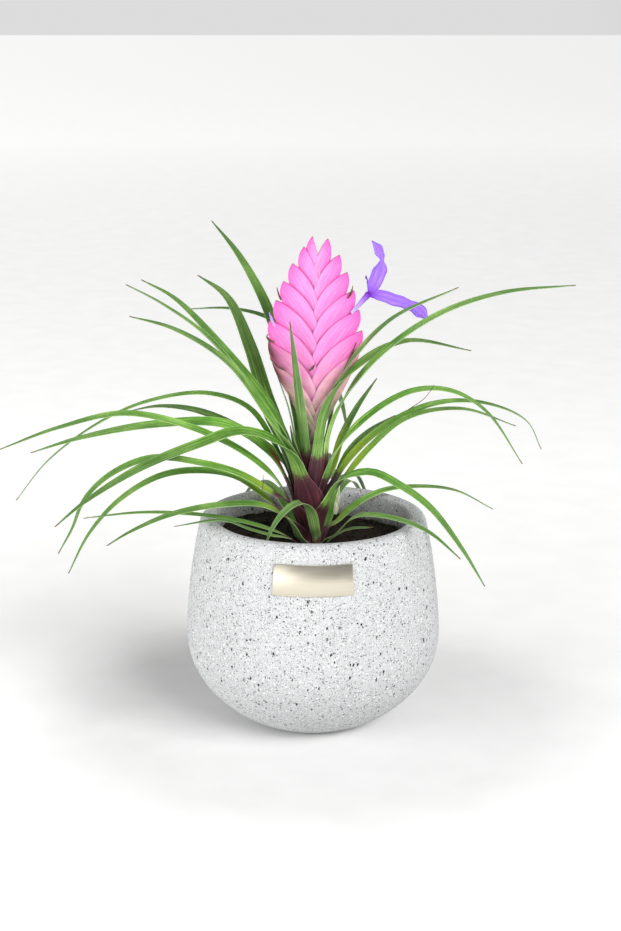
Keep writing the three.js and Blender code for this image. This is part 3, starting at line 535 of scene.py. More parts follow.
# Tiers from the youngest outward, one leaf a row: where its sheath stands round the stem, where its blade
# points and how far the sheath goes round, all in degrees; the blade's width in mm; what is its own, such as
# rise, how high its sheath stands in mm; and its reach from the stem and its height at places up to the tip.
leafTiers = [
    [
        (240, 228, 70, 6.5, {"rise": 8}, [(7, 152), (11, 180), (15, 205), (18, 226)]),
        (180, 172, 45, 3, {"rise": 8}, [(8.5, 156), (12, 175), (18, 193)]),
        (20, 36, 60, 3.5, {"rise": 6}, [(7, 150), (11, 165), (18, 191), (29, 211)]),
    ],
    [
        (123, 130, 75, 7.5, {"rise": 10}, [(13, 170), (35, 222), (61, 251), (87, 269)]),
        (-45, -14, 65, 5.5, {"rise": 8}, [(9, 171), (20, 199), (43, 226), (79, 245)]),
        (228, 220, 50, 4, {"rise": 12}, [(9.2, 148), (13, 158), (15.5, 169)]),
    ],
    [
        (-77, 6, 60, 5.5, {"turn": 46}, [(11, 161), (15, 182), (28, 203), (52, 212), (87, 206)]),
        (-22, -18, 48, 6.5, {}, [(10, 160), (18, 181), (38, 207), (70, 231), (103, 244), (141, 250)]),
        (183, 168, 70, 7, {}, [(11.8, 157), (27, 181), (49, 207), (75, 233), (94, 243)]),
        (75, 82, 70, 5, {}, [(13, 160), (26, 202), (52, 226), (84, 231)]),
    ],
    [
        (204, 182, 62, 4, {"fold": 1.25}, [(13.5, 151), (38, 194), (57, 217), (80, 234), (98, 244)]),
        (96, 150, 50, 4.5, {"turn": 100}, [(12.4, 150), (17.5, 166), (24, 195), (33, 216), (43, 221),
         (60, 224), (80, 223)]),
        (50, 48, 38, 4.5, {"rise": 12}, [(18, 140), (25, 155), (38, 170), (55, 184)]),
        (-34, 6, 60, 4.5, {}, [(13, 150), (27, 168), (54, 184), (76, 184), (96, 172), (117, 142)]),
    ],
    [
        (158, 150, 72, 10.5, {}, [(11, 138), (17, 153), (29, 178), (39, 206), (53, 232), (72, 243)]),
        (244, 199, 62, 8, {}, [(14, 151), (29, 180), (49, 206), (76, 224), (99, 232)]),
        (22, 31, 58, 4.5, {"rise": 14}, [(16, 136), (25, 146), (45, 159), (79, 169), (114, 166), (147, 151),
         (158, 133)]),
        (97, 92, 46, 5, {}, [(12, 143), (17, 152), (33, 186), (54, 207), (80, 208)]),
    ],
    [
        (168, 161, 58, 3.3, {}, [(12.2, 138), (18, 149), (35, 173), (60, 180), (96, 173), (127, 158),
         (160, 133), (181, 108)]),
        (100, 78, 48, 5, {}, [(11.5, 137), (20, 149), (36, 166), (58, 174), (84, 162), (106, 137)]),
        (-6, 17, 58, 3.8, {}, [(19, 137), (34, 152), (55, 167), (87, 170), (120, 158)]),
        (40, 43, 32, 3.5, {"rise": 13}, [(16, 130), (28, 147), (43, 156), (65, 162)]),
    ],
    [
        (262, 208, 106, 7.5, {"turn": 33, "rise": 24}, [(13, 138), (16.5, 151), (25, 162), (43, 168),
         (66, 164), (100, 155), (131, 141), (148, 130)]),
        (177, 181, 58, 7.5, {"rise": 20, "narrows": 50}, [(13.2, 134.5), (22.5, 151), (36, 162.5),
         (50, 168), (87, 167), (125, 160), (152, 152)]),
        (118, 150, 52, 6, {}, [(13.5, 137), (26, 149), (46, 159), (72, 166), (99, 166), (123, 160)]),
        (72, 80, 34, 5.5, {}, [(16, 128), (32, 140), (50, 138), (75, 118), (94, 88)]),
    ],
    [
        (177, 190, 44, 5.5, {}, [(14.5, 129), (23, 141), (50, 161), (98, 177), (135, 171), (168, 160)]),
        (232, 200, 62, 5.5, {"rise": 20}, [(14, 125), (24, 132), (41, 143), (63, 151), (90, 156),
         (112, 149), (126, 137), (133, 122), (141, 109)]),
        (306, 342, 70, 5.5, {"rise": 20}, [(13, 127), (18, 138), (33, 143), (50, 137), (67, 126), (84, 106),
         (98, 85)]),
        (5, 35, 42, 3.6, {"rise": 10}, [(16, 111), (26, 116), (47, 122), (72, 121), (102, 114), (131, 98)]),
        (128, 100, 46, 5.5, {"rise": 13}, [(18, 122), (34, 132), (52, 129), (72, 112), (88, 82)]),
        (62, 66, 60, 5, {"rise": 11}, [(17, 117), (30, 124), (46, 126), (64, 123), (86, 100)]),
    ],
    [
        (196, 190, 52, 5.2, {"rise": 16}, [(15, 118), (26, 128), (42, 140), (61, 144), (82, 142),
         (104, 130), (121, 112), (133, 90)]),
        (246, 215, 40, 5, {"rise": 14}, [(15, 115), (30, 126), (56, 131), (89, 131), (113, 126), (127, 121)]),
        (296, 236, 40, 5.5, {"turn": 50, "rise": 12}, [(14, 112), (18, 123), (25, 130), (33, 127),
         (40, 119), (45, 110)]),
        (338, 325, 38, 3.8, {"rise": 9}, [(15, 107), (26, 118), (35, 122), (57, 123), (76, 119), (95, 108)]),
        (90, 92, 60, 5, {"rise": 12}, [(18, 113), (30, 119), (48, 122), (64, 122), (84, 109), (98, 84)]),
    ],
    [
        (196, 200, 38, 4.5, {"rise": 11}, [(15, 106), (30, 113), (45, 118), (66, 123), (96, 127),
         (127, 127)]),
        (230, 210, 22, 3.5, {"rise": 10}, [(15, 105.5), (25, 108.5), (39, 114), (54, 121), (83, 122)]),
        (262, 230, 32, 4.5, {"rise": 12}, [(15, 107), (19, 115), (25, 123)]),
        (-4, -5, 34, 2.5, {"rise": 10}, [(15, 106), (22, 109), (34, 110)]),
        (130, 118, 60, 5, {"rise": 12}, [(18, 109), (40, 119), (58, 121), (78, 111), (94, 84)]),
        (44, 68, 50, 4.5, {"rise": 12}, [(18, 108), (38, 118), (58, 121), (74, 112), (88, 90)]),
    ],
]

# What single leaves show. maroon and yellow say how far up from the foot those colours reach, in mm; light is
# how much lighter than the rest the leaf is, and on leaf 24 it is painted light that lifts a leaf lying in
# shade; dry is the length of its brown tip; slim is its share of the usual width.
leafMarks = {
    1: {"maroon": 26, "light": -0.02}, 2: {"maroon": 24}, 3: {"maroon": 27, "light": -0.2},
    4: {"maroon": 24, "light": -0.1}, 5: {"maroon": 29, "light": 0.05}, 6: {"maroon": 30, "light": -0.15},
    7: {"maroon": 33, "light": -0.05}, 8: {"maroon": 34, "light": 0.08}, 9: {"maroon": 25},
    10: {"light": -0.1}, 11: {"maroon": 27}, 12: {"light": -0.1}, 13: {"maroon": 24, "yellow": 50},
    14: {"maroon": 26, "light": 0.22}, 15: {"maroon": 31, "light": -0.08}, 16: {"maroon": 33},
    17: {"maroon": 31, "yellow": 58}, 19: {"maroon": 36, "light": -0.05}, 21: {"maroon": 33, "yellow": 55},
    22: {"maroon": 28, "yellow": 45, "dry": 7},
    # leaf 24's light is painted light: it lifts the leaf out of the shade it lies in
    23: {"maroon": 42, "light": -0.1}, 24: {"maroon": 40, "light": 0.3, "orange": 1.0}, 25: {"maroon": 38},
    27: {"maroon": 37, "light": 0.08}, 28: {"maroon": 43, "yellow": 58}, 29: {"maroon": 29, "light": 0.1},
    30: {"maroon": 16, "yellow": 28}, 33: {"maroon": 38, "yellow": 52}, 34: {"maroon": 28, "yellow": 44},
    35: {"maroon": 13, "light": 0.05}, 36: {"maroon": 12, "yellow": 34},
    38: {"maroon": 24, "slim": 0.68}, 39: {"maroon": 22, "slim": 0.68},
    40: {"maroon": 16}, 41: {"maroon": 9},
}


def leafCourse(leaf, foot, rise):
    turn = leaf.get("turn", leafForm["turnReach"])
    topRadius = crown["footRadius"] + crown["funnelSlope"] * rise
    points = []
    for reach, height in [(crown["footRadius"], foot), (topRadius, foot + rise)] + leaf["passes"]:
        rest = 1 - clamp((reach - topRadius) / (turn - topRadius))
        azimuth = mix(leaf["blade"], leaf["base"], rest * rest)
        points.append(heading(azimuth) * reach + Vector((crown["x"], 0, height)))
    return points


# the sheath faces out from the stem; farther out the blade lies across its own course, and it turns
# its upper face a little to the front
def leafStations(leaf, tier):
    foot = crown["outerFoot"] + crown["tierPitch"] / crown["funnelSlope"] * (len(leafTiers) - 1 - tier)
    rise = leaf.get("rise", crown["sheathLength"])
    dense, lengths = smoothCourse(leafCourse(leaf, foot, rise))
    length = lengths[-1]
    sheathRun = math.hypot(rise, rise * crown["funnelSlope"])
    topRadius = crown["footRadius"] + crown["funnelSlope"] * rise
    count = round(length / leafForm["spacing"])
    stations = []
    for i in range(count + 1):
        share = 1 - (1 - i / count) ** leafForm["crowding"]  # closer together near the tip
        centre, tangent = courseAt(dense, lengths, share * length)
        fromStem = Vector((centre.x - crown["x"], centre.y, 0))
        reach = max(fromStem.length, crown["footRadius"])
        centre = centre + fromStem * (reach / fromStem.length - 1)
        aroundStem = Vector((-fromStem.y, fromStem.x, 0)).normalized()
        acrossCourse = Vector((-tangent.y, tangent.x, 0)).normalized()
        free = ease((reach - leafForm["stemwardReach"]) / leafForm["stemwardReach"])
        across = aroundStem.lerp(acrossCourse, free)
        across = (across - tangent * across.dot(tangent)).normalized()
        turn = free * math.radians(leafForm["faceTurn"]) * math.cos(math.radians(leaf["blade"]))
        across = Quaternion(tangent, turn) @ across
        along = share * length - sheathRun
        opened = ease(along / leaf.get("narrows", leafForm["sheathToBlade"]))
        towardTip = clamp(along / (length - sheathRun))
        bladeWidth = leaf["width"] * (1 - towardTip ** leafForm["taper"]) + leafForm["tipWidth"]
        width = mix(math.radians(leaf["wrap"]) * min(reach, topRadius), bladeWidth, opened)
        bladeThickness = mix(leafForm["bladeThickness"], leafForm["tipThickness"], towardTip)
        stations.append({
            "centre": centre, "across": across, "outward": across.cross(tangent), "width": width,
            "halfAngle": mix(width / (2 * reach), leaf.get("fold", leafForm["bladeHalfAngle"]),
                             ease(along / leafForm["sheathToChannel"])),
            "thickness": mix(leafForm["sheathThickness"], bladeThickness, opened),
            "along": share * length, "toTip": (1 - share) * length,
        })
    return stations


# a strip, hollowed above, thick along its middle and thin at both margins
def stripRing(station, segments, marginShare):
    radius = station["width"] / (2 * station["halfAngle"])
    outer, inner = [], []
    for k in range(segments + 1):
        place = 2 * k / segments - 1
        angle = station["halfAngle"] * place
        normal = station["across"] * math.sin(angle) + station["outward"] * math.cos(angle)
        axis = station["centre"] - station["outward"] * radius
        half = station["thickness"] / 2 * mix(marginShare, 1, math.sqrt(max(0, 1 - place * place)))
        outer.append(axis + normal * (radius + half))
        inner.insert(0, axis + normal * (radius - half))
    return outer + inner


# for each point: its place in the veins, how far it is short of the maroon and yellow ends, its distance
# from the middle and from the tip, its face and the orange on it, and the leaf's own lightness
def leafGuides(stations, marks, maroonEnd, seed):
    made = {"veins": [], "bands": [], "rim": [], "face": [], "tint": []}
    segments = leafForm["segments"]
    middle, reach, wide, soft = leafForm["orangeSpot"]
    brown = marks.get("dry", leafForm["brownTip"])
    for station in stations:
        along = station["along"]
        for face in (1, 0):
            for k in range(segments + 1):
                across = k / segments if face else 1 - k / segments
                orange = ease((wide - across) / soft) * ease(1 - abs(along - middle) / reach)
                made["veins"].append((along / leafForm["veinReach"],
                                      across * leafForm["veinSpread"] + seed * leafForm["leafApart"]))
                made["bands"].append(((maroonEnd - along) / 100, (marks.get("yellow", 0) - along) / 100))
                made["rim"].append((abs(across - 0.5), station["toTip"] / brown))
                made["face"].append((face, orange * marks.get("orange", 0)))
                made["tint"].append((1 + marks.get("light", 0), station["toTip"] / 100))
    return made


# A smooth waxy leaf under fine grey scales: mid green above, greyer below, a little paler along its
# margins, dull brown at the tip, and maroon over the sheath with a mottled change to green.
leafSkin = {
    "upper": [(0.41, "#3c7019"), (0.5, "#60942f"), (0.59, "#93bd5d")],
    "under": [(0.41, "#426f22"), (0.5, "#689038"), (0.59, "#9aba68")],
    "maroon": [(0.36, "#26101b"), (0.5, "#48212b"), (0.66, "#6f3a40")],
    "margin": "#b6d199", "maroonMargin": "#8a5468", "yellow": "#93aa34", "orange": "#b23a1c",
    "tip": "#4e6440", "dry": "#6b4a38", "scales": "#9fb089",
    # clouds, scales and mottle: size in mm, detail, roughness; the scales are drawn coarser than the real
    # ones, so that they show
    "noises": [(18.2, 3, 0.5), (0.667, 2, 0.5), (2.38, 4, 0.7)],
    # each share: from and to which value of what it follows, and what it is at those two
    "powder": (0.52, 0.7, 0, 0.18), "farOut": (0, 1.1, 0.75, 0), "wander": (0, 1, -0.06, 0.06),
    "yellowFringe": (-0.1, 0.08, 0, 0.6), "maroonFringe": (-0.03, 0.035, 0, 1),
    "thinMargin": (0.44, 0.5, 0, 0.5), "dryEnd": (1.2, 0.6, 0, 0.9), "gloss": (0.3, 0.7, 0.38, 0.52),
}
leafMaterial = startMaterial("waxyLeafWithGreyScales")
guide = {name: addNode("SeparateXYZ", [addNode("UVMap", uv_map=name)[0]])
         for name in ("bands", "rim", "face", "tint")}
veinPlace, leafPlace = addNode("UVMap", uv_map="veins")[0], addNode("TexCoord")["Object"]
veins = addNode("TexNoise", {"Vector": veinPlace, "Scale": 1, "Detail": 3, "Roughness": 0.6})["Fac"]
patches, scales, mottle = [
    addNode("TexNoise", {"Vector": leafPlace, "Scale": perMetre(size), "Detail": detail,
                         "Roughness": rough})["Fac"]
    for size, detail, rough in leafSkin["noises"]]
streaks = addNode("Mix", {0: 0.35, 2: veins, 3: patches})[0]  # the veins' streaks, with some of the clouds
above, below = [addNode("ValToRGB", [streaks], stops=leafSkin[side])[0] for side in ("upper", "under")]
green = addNode("Mix", {0: guide["face"][0], 6: above, 7: below}, data_type="RGBA")[2]

# grey scales dull the green as a fine powder, the blade is greyer towards its tip, and some leaves are
# yellow-green between the sheath and the blade
powder = addNode("MapRange", (scales, *leafSkin["powder"]))[0]
farOut = addNode("MapRange", (guide["tint"][1], *leafSkin["farOut"]))[0]
wander = addNode("MapRange", (mottle, *leafSkin["wander"]))[0]
fringes = []
for band, fringe in ((0, "maroonFringe"), (1, "yellowFringe")):
    bandEdge = addNode("Math", (guide["bands"][band], wander), operation="ADD")[0]
    fringes.append(addNode("MapRange", (bandEdge, *leafSkin[fringe]), interpolation_type="SMOOTHSTEP")[0])
maroonShare, yellowShare = fringes
for share, tone in ((powder, "scales"), (farOut, "tip"), (yellowShare, "yellow")):
    green = addNode("Mix", {0: share, 6: green, 7: leafSkin[tone]}, data_type="RGBA")[2]
green = addNode("HueSaturation", {"Value": guide["tint"][0], "Color": green})[0]

# maroon over the sheath, with a fringe that breaks up into the green; the thin translucent margins are paler
maroonTone = addNode("ValToRGB", [streaks], stops=leafSkin["maroon"])[0]
marginTone = addNode("Mix", {0: maroonShare, 6: leafSkin["margin"], 7: leafSkin["maroonMargin"]},
                     data_type="RGBA")[2]
marginShare = addNode("MapRange", (guide["rim"][0], *leafSkin["thinMargin"]))[0]
dryShare = addNode("MapRange", (guide["rim"][1], *leafSkin["dryEnd"]))[0]
body = green
for share, tone in ((maroonShare, maroonTone), (guide["face"][1], leafSkin["orange"]),
                    (marginShare, marginTone), (dryShare, leafSkin["dry"])):
    body = addNode("Mix", {0: share, 6: body, 7: tone}, data_type="RGBA")[2]
leafHeight = addNode("Math", (scales, 0.25, veins), operation="MULTIPLY_ADD")[0]
leafBump = addNode("Bump", {"Height": leafHeight, "Strength": 0.35, "Distance": 0.0003})[0]
leafGloss = addNode("MapRange", (mottle, *leafSkin["gloss"]))[0]
feed(surface, {
    "Base Color": body, "Roughness": leafGloss, "IOR": 1.45, "Subsurface Weight": 0.1,
    "Subsurface Radius": (0.0012, 0.0022, 0.0006), "Subsurface Scale": 1.0, "Sheen Weight": 0.06,
    "Normal": leafBump,
})

leafDraw = random.Random(leafForm["seed"])
number = 0
for tier, tierLeaves in enumerate(leafTiers):
    for base, blade, wrap, width, own, passes in tierLeaves:
        number += 1
        leaf = {"base": base, "blade": blade, "wrap": wrap, "width": width, "passes": passes, **own}
        marks = leafMarks.get(number, {})
        stations = leafStations(leaf, tier)
        for station in stations:
            station["width"] *= marks.get("slim", 1)
        rings = [stripRing(station, leafForm["segments"], leafForm["marginShare"]) for station in stations]
        spread = leafForm["maroonSpread"]
        maroonEnd = marks.get("maroon", leafForm["maroonEnd"] + leafDraw.uniform(-spread, spread))
        guides = leafGuides(stations, marks, maroonEnd, leafDraw.random())
        makePiece(f"leaf{number:02d}", *skin(rings), leafMaterial, guides, sharp=75,
                  replaced=f"leaf_{number:02d}", slot="leaf")
print("leaves made:", number)


# Flower spike

spike = {
    "scapeBase": 96.3, "scapeBend": 130, "scapeFootRadius": 3.4, "scapeRadius": 2.6, "rachisTop": 250,
    "base": 157.3, "baseX": 0.5, "leanX": 2.8, "top": 269, "bracts": 19, "lowestTip": 175,
    "tipPitch": 6.8, "tipPitchLoss": 0.079, "runLow": 41, "runHigh": 27, "thickLow": 5.4, "thickHigh": 2.9,
    "bulgeLow": 2, "bulgeHigh": 6, "keelThick": 0.3, "marginThick": 0.85, "keelFoot": 2.2, "steps": 26,
    "across": 10, "seed": 3, "browned": {2: 0.8, 4: 1, 6: 1},  # which bracts have browned ends, and how far
    "leanPower": 2.2, "rachisRadius": (3, 1.6), "sides": 16,
    # a bract's keel and margin: shares of its rise, and of its half width for a narrow and a full bract
    "keelCourse": [(0.34, 0.18, 0.46), (0.68, 0.72, 1.06)], "marginCourse": (0.5, 2.8, 0.86, 0.42),
    "marginEnds": (1, 0.5, 0.2),  # how far the margin starts above the foot and ends inside and below the tip
    "spreads": (2, 6),  # after which bract they spread to the sides, and over how many more
    "fullest": (0.12, 0.8), "roundedFrom": 0.86, "rounded": 0.4,
    # on the stalk: base, tip, side, half width, thickness
    "scapeBracts": [(131, 148, -1, 3.6, 2.9), (139, 156.6, 1, 4.2, 3)],
    # half width, from the middle line to the bract tips: (height, half width)
    "outline": [(157, 4), (167, 8), (178, 11), (186, 15), (200, 22.6), (212, 25), (222, 25),
                (232, 22.5), (242, 19.3), (252, 15), (260, 10.8), (270, 3)],
}


def spikeAxisX(height):
    share = clamp((height - spike["base"]) / (spike["top"] - spike["base"]))
    bent = ease((height - spike["scapeBend"]) / (spike["base"] - spike["scapeBend"]))
    return mix(crown["x"], spike["baseX"], bent) + spike["leanX"] * share ** spike["leanPower"]


def spikeHalfWidth(height):
    for low, high in zip(spike["outline"], spike["outline"][1:]):
        if height <= high[0]:
            return mix(low[1], high[1], (height - low[0]) / (high[0] - low[0]))
    return spike["outline"][-1][1]


def rod(low, high, lowRadius, highRadius, steps):
    rings = []
    for step in range(steps + 1):
        height = mix(low, high, step / steps)
        radius = mix(lowRadius, highRadius, step / steps)
        centre = Vector((spikeAxisX(height), 0, height))
        rings.append([centre + heading(360 * (side + 0.5) / spike["sides"]) * radius
                      for side in range(spike["sides"])])
    return rings


# one boat-shaped bract, folded along its keel, which lies at the edge of the flat spike
def bractRings(base, tip, side, half, thick, spread, bulge):
    rise, foot = tip - base, spike["keelFoot"]
    baseX, tipX = spikeAxisX(base), spikeAxisX(tip) + side * half
    (low, lowNarrow, lowFull), (high, highNarrow, highFull) = spike["keelCourse"]
    keel = bezier([(baseX + side * foot, 0, base),
                   (baseX + side * (foot + half * mix(lowNarrow, lowFull, spread)), 0, base + rise * low),
                   (baseX + side * (half * mix(highNarrow, highFull, spread) + bulge), 0, base + rise * high),
                   (tipX, 0, tip)], spike["steps"])
    middle, inward, upper, outward = spike["marginCourse"]
    above, inside, below = spike["marginEnds"]
    margin = bezier([(baseX - side * foot, 0, base + above), (baseX - side * inward, 0, base + rise * middle),
                     (baseX + side * half * outward, 0, base + rise * upper),
                     (tipX - side * inside, 0, tip - below)], spike["steps"])
    rings, course = [], []
    fullStart, fullPower = spike["fullest"]
    for step in range(spike["steps"] + 1):
        along = step / spike["steps"]
        swell = (fullStart + (1 - fullStart) * along) ** fullPower
        fullness = mix(spike["marginThick"], thick, math.sin(math.pi * swell))
        front, marks = [], []
        for k in range(spike["across"] + 1):
            across = k / spike["across"]
            depth = mix(spike["keelThick"], fullness, math.sin(across * math.pi / 2))
            edge = max(0, (across - spike["roundedFrom"]) / (1 - spike["roundedFrom"]))
            depth -= spike["rounded"] * edge ** 2 * (1 - along * 0.5)  # the margin is rounded off
            place = keel[step].lerp(margin[step], across)
            front.append(Vector((place.x, -depth, place.z)))
            marks.append((along, across))
        rings.append(front + [Vector((p.x, -p.y, p.z)) for p in reversed(front)])
        course += marks + marks[::-1]
    return rings, course


def spikeBract(order):
    share = order / (spike["bracts"] - 1)
    tip = min(spike["top"], spike["lowestTip"] + order * (spike["tipPitch"] - spike["tipPitchLoss"] * order))
    spread = ease((order - spike["spreads"][0]) / spike["spreads"][1])
    return bractRings(max(spike["base"], tip - mix(spike["runLow"], spike["runHigh"], share)), tip,
                      -1 if order % 2 == 0 else 1, spikeHalfWidth(tip),
                      mix(spike["thickLow"], spike["thickHigh"], share),
                      spread, spread * mix(spike["bulgeLow"], spike["bulgeHigh"], share))


def joinSkins(parts):  # parts: rings with their guides
    points, faces, guides = [], [], {}
    for rings, values in parts:
        partPoints, partFaces = skin(rings)
        faces += [tuple(len(points) + i for i in face) for face in partFaces]
        points += partPoints
        for name, value in values.items():
            guides.setdefault(name, []).extend(value)
    return points, faces, guides


# thin waxy bracts: pink, deeper at the keel and the tip and paler to the spike's middle line, dull green-pink
# at the spike's foot, with a painted shade line along each margin where it lies over the bract beneath, and
# browned ends on a few
bractSkin = {
    "flank": [(0.35, "#dc64b1"), (0.5, "#e373bb"), (0.65, "#ea88c7")],
    "low": [(0.4, "#e2cab2"), (0.5, "#c3c58c"), (0.62, "#d6a2ba")],
    # margin is the colour of the painted shade line along each bract's margin
    "deep": "#e24ca9", "pale": "#eda4d2", "margin": "#9c3b7d", "tip": "#6d4036", "browned": "#552529",
    # the fibres' streaks along and across a bract, what sets bracts apart, and the size of the clouds in mm
    "fibresAlong": 3, "fibresAcross": 16, "bractApart": 90, "cloudSize": 6.25,
    # each share: from and to which value of what it follows, what it is at those two, and whether it eases
    "inward": (0.35, 0.95, 0, 0.4, False), "toKeel": (0.45, 0, 0, 0.55, True),
    "toTip": (0.6, 1, 0, 0.75, True), "old": (0.46, 0.06, 0, 0.9, True),
    "witheredEnd": (0.4, 0.85, 0, 1, True), "witheredKeel": (0.7, 0.2, 0.3, 1, False),
    "marginShadeLine": (0.95, 1, 0, 0.6, False), "dryTip": (0.965, 0.995, 0, 0.85, False),
}
bractMaterial = startMaterial("waxyPinkBract")
course, growth = [addNode("SeparateXYZ", [addNode("UVMap", uv_map=name)[0]]) for name in ("course", "growth")]
fibrePlace, bractPlace = addNode("UVMap", uv_map="fibres")[0], addNode("TexCoord")["Object"]
fibres = addNode("TexNoise", {"Vector": fibrePlace, "Scale": 1, "Detail": 3})["Fac"]
cloud = addNode("TexNoise", {"Vector": bractPlace, "Scale": perMetre(bractSkin["cloudSize"]),
                             "Detail": 3})["Fac"]
shares = {}
for name, source in (("inward", course[1]), ("toKeel", course[1]), ("toTip", course[0]), ("old", growth[0]),
                     ("witheredEnd", course[0]), ("witheredKeel", course[1]), ("marginShadeLine", course[1]),
                     ("dryTip", course[0])):
    *ends, eased = bractSkin[name]
    shares[name] = addNode("MapRange", (source, *ends),
                           interpolation_type="SMOOTHSTEP" if eased else "LINEAR")[0]
deepShare = addNode("Math", (shares["toKeel"], shares["toTip"]), operation="MAXIMUM")[0]
withered = addNode("Math", (shares["witheredEnd"], shares["witheredKeel"]), operation="MULTIPLY")[0]
withered = addNode("Math", (withered, growth[1]), operation="MULTIPLY")[0]
flank = addNode("ValToRGB", [fibres], stops=bractSkin["flank"])[0]
lowTone = addNode("ValToRGB", [cloud], stops=bractSkin["low"])[0]
for share, tone in ((shares["inward"], bractSkin["pale"]), (deepShare, bractSkin["deep"]),
                    (shares["old"], lowTone), (withered, bractSkin["browned"]),
                    (shares["marginShadeLine"], bractSkin["margin"]), (shares["dryTip"], bractSkin["tip"])):
    flank = addNode("Mix", {0: share, 6: flank, 7: tone}, data_type="RGBA")[2]
bractBump = addNode("Bump", {"Height": fibres, "Strength": 0.25, "Distance": 0.0003})[0]
feed(surface, {
    "Base Color": flank, "Roughness": 0.42, "IOR": 1.45, "Subsurface Weight": 0.2,
    "Subsurface Radius": (0.003, 0.0014, 0.0018), "Subsurface Scale": 1.0, "Normal": bractBump,
})


# for each point: its course along and across, its age and how far it is browned, and its place in the fibres
def bractGuides(course, age, seed, browned=0):
    along, across, apart = (bractSkin[k] for k in ("fibresAlong", "fibresAcross", "bractApart"))
    return {"course": course, "growth": [(age + (u - 0.5) * 0.15, browned) for u, v in course],
            "fibres": [(u * along, v * across + seed * apart) for u, v in course]}


spikeDraw = random.Random(spike["seed"])
bractParts = []
for order in range(spike["bracts"]):
    rings, course = spikeBract(order)
    bractParts.append((rings, bractGuides(course, order / (spike["bracts"] - 1), spikeDraw.random(),
                                          spike["browned"].get(order, 0))))
rachis = rod(spike["base"], spike["rachisTop"], *spike["rachisRadius"], 12)
bractParts.append((rachis, bractGuides([(0.3, 0.5)] * sum(len(r) for r in rachis), 0.3, 0.1)))
spikePoints, spikeFaces, spikeGuides = joinSkins(bractParts)
makePiece("flowerSpike", spikePoints, spikeFaces, bractMaterial, spikeGuides, sharp=60,
          replaced="flower_spike", slot="flower_spike")

scapeParts = []
for base, tip, side, half, thick in spike["scapeBracts"]:
    rings, course = bractRings(base, tip, side, half, thick, 1, 0)
    scapeParts.append((rings, bractGuides(course, 0, 0.3 + 0.2 * side)))
stalk = rod(spike["scapeBase"], spike["base"] - 0.3, spike["scapeFootRadius"], spike["scapeRadius"], 14)
scapeParts.append((stalk, bractGuides([(0.1, 0.5)] * sum(len(r) for r in stalk), 0, 0.4)))
scapePoints, scapeFaces, scapeGuides = joinSkins(scapeParts)
makePiece("scapeStalk", scapePoints, scapeFaces, bractMaterial, scapeGuides, sharp=60,
          replaced="scape", slot="scape")
print("spike made:", len(spikeFaces), "faces")


# Open flower

flower = {
    "tubeStart": (20.5, -1.5, 228.4), "throat": (29.6, -2, 238.8), "tubeRadius": 1.1, "throatRadius": 1.9,
    "tubeSides": 16, "tubeSteps": 10, "tubeEnd": 0.2,  # the share of the flower's course that the tube takes
    "thickness": 0.55, "marginShare": 0.35, "curl": 0.3, "perSpan": 7, "segments": 12,
    # the waves of the free edges: height in mm, pace, where they are full, how each petal's differ
    "ruffle": 0.45, "ruffleTurn": 0.9, "ruffleFrom": 8, "rufflePhase": 2.1,
}
# each petal from the throat to its tip: x, y, z, width, twist in degrees
petals = [
    [(29.6, -2, 238.2, 2.4, 0), (32.3, -2, 244, 7.4, 0), (35.4, -2.4, 251, 8.2, 15), (36.6, -3, 257, 5, 60),
     (34.6, -3.6, 262.4, 5.5, 20), (31, -4, 267.2, 0.9, 0)],
    [(29, -2, 238.4, 2.4, 0), (35.5, -2, 238, 6, 0), (43.5, -2.4, 235.4, 6.8, 10), (51, -2.8, 232.8, 6.4, 24),
     (57, -3, 229.4, 7.2, 0), (61.4, -3, 224.8, 0.9, 0)],
    [(29.8, -2.4, 238.6, 2.4, 90), (29.6, 1.5, 242, 4.4, 90), (29, 6, 244.6, 4.4, 90),
     (28.4, 9.5, 246.6, 0.9, 90)],
]


def petalRings(rows, phase, ruffle, thickness=flower["thickness"]):
    dense, lengths = smoothCourse([row[:3] for row in rows], flower["perSpan"])
    rings, course = [], []
    count = flower["segments"] + 1
    for i, centre in enumerate(dense):
        span = min(i // flower["perSpan"], len(rows) - 2)
        part = ease(i / flower["perSpan"] - span)
        tangent = (dense[min(i + 1, len(dense) - 1)] - dense[max(i - 1, 0)]).normalized()
        flat = tangent.cross(Vector((0, -1, 0))).normalized()
        across = Quaternion(tangent, math.radians(mix(rows[span][4], rows[span + 1][4], part))) @ flat
        station = {"centre": centre, "across": across, "outward": across.cross(tangent),
                   "halfAngle": flower["curl"], "thickness": thickness,
                   "width": mix(rows[span][3], rows[span + 1][3], part)}
        ring = stripRing(station, flower["segments"], flower["marginShare"])
        for k in range(count):  # the free edges are softly waved
            place = abs(2 * k / flower["segments"] - 1)
            wave = math.sin(i * flower["ruffleTurn"] + phase) * ruffle * place ** 2
            wave *= min(1, lengths[i] / flower["ruffleFrom"])
            ring[k] += station["outward"] * wave
            ring[2 * count - 1 - k] += station["outward"] * wave
            course.append((lengths[i] / lengths[-1], k / flower["segments"]))
        course += course[-count:][::-1]
        rings.append(ring)
    return rings, course


def tubeRings():
    steps = flower["tubeSteps"]
    start, end = Vector(flower["tubeStart"]), Vector(flower["throat"])
    direction = (end - start).normalized()
    side = Vector((0, 1, 0))
    cross = direction.cross(side).normalized()
    turns = [2 * math.pi * i / flower["tubeSides"] for i in range(flower["tubeSides"])]
    rings = []
    for step in range(steps + 1):
        centre = start.lerp(end, step / steps)
        radius = mix(flower["tubeRadius"], flower["throatRadius"], (step / steps) ** 2)
        rings.append([centre + side * radius * math.cos(a) + cross * radius * math.sin(a) for a in turns])
    return rings


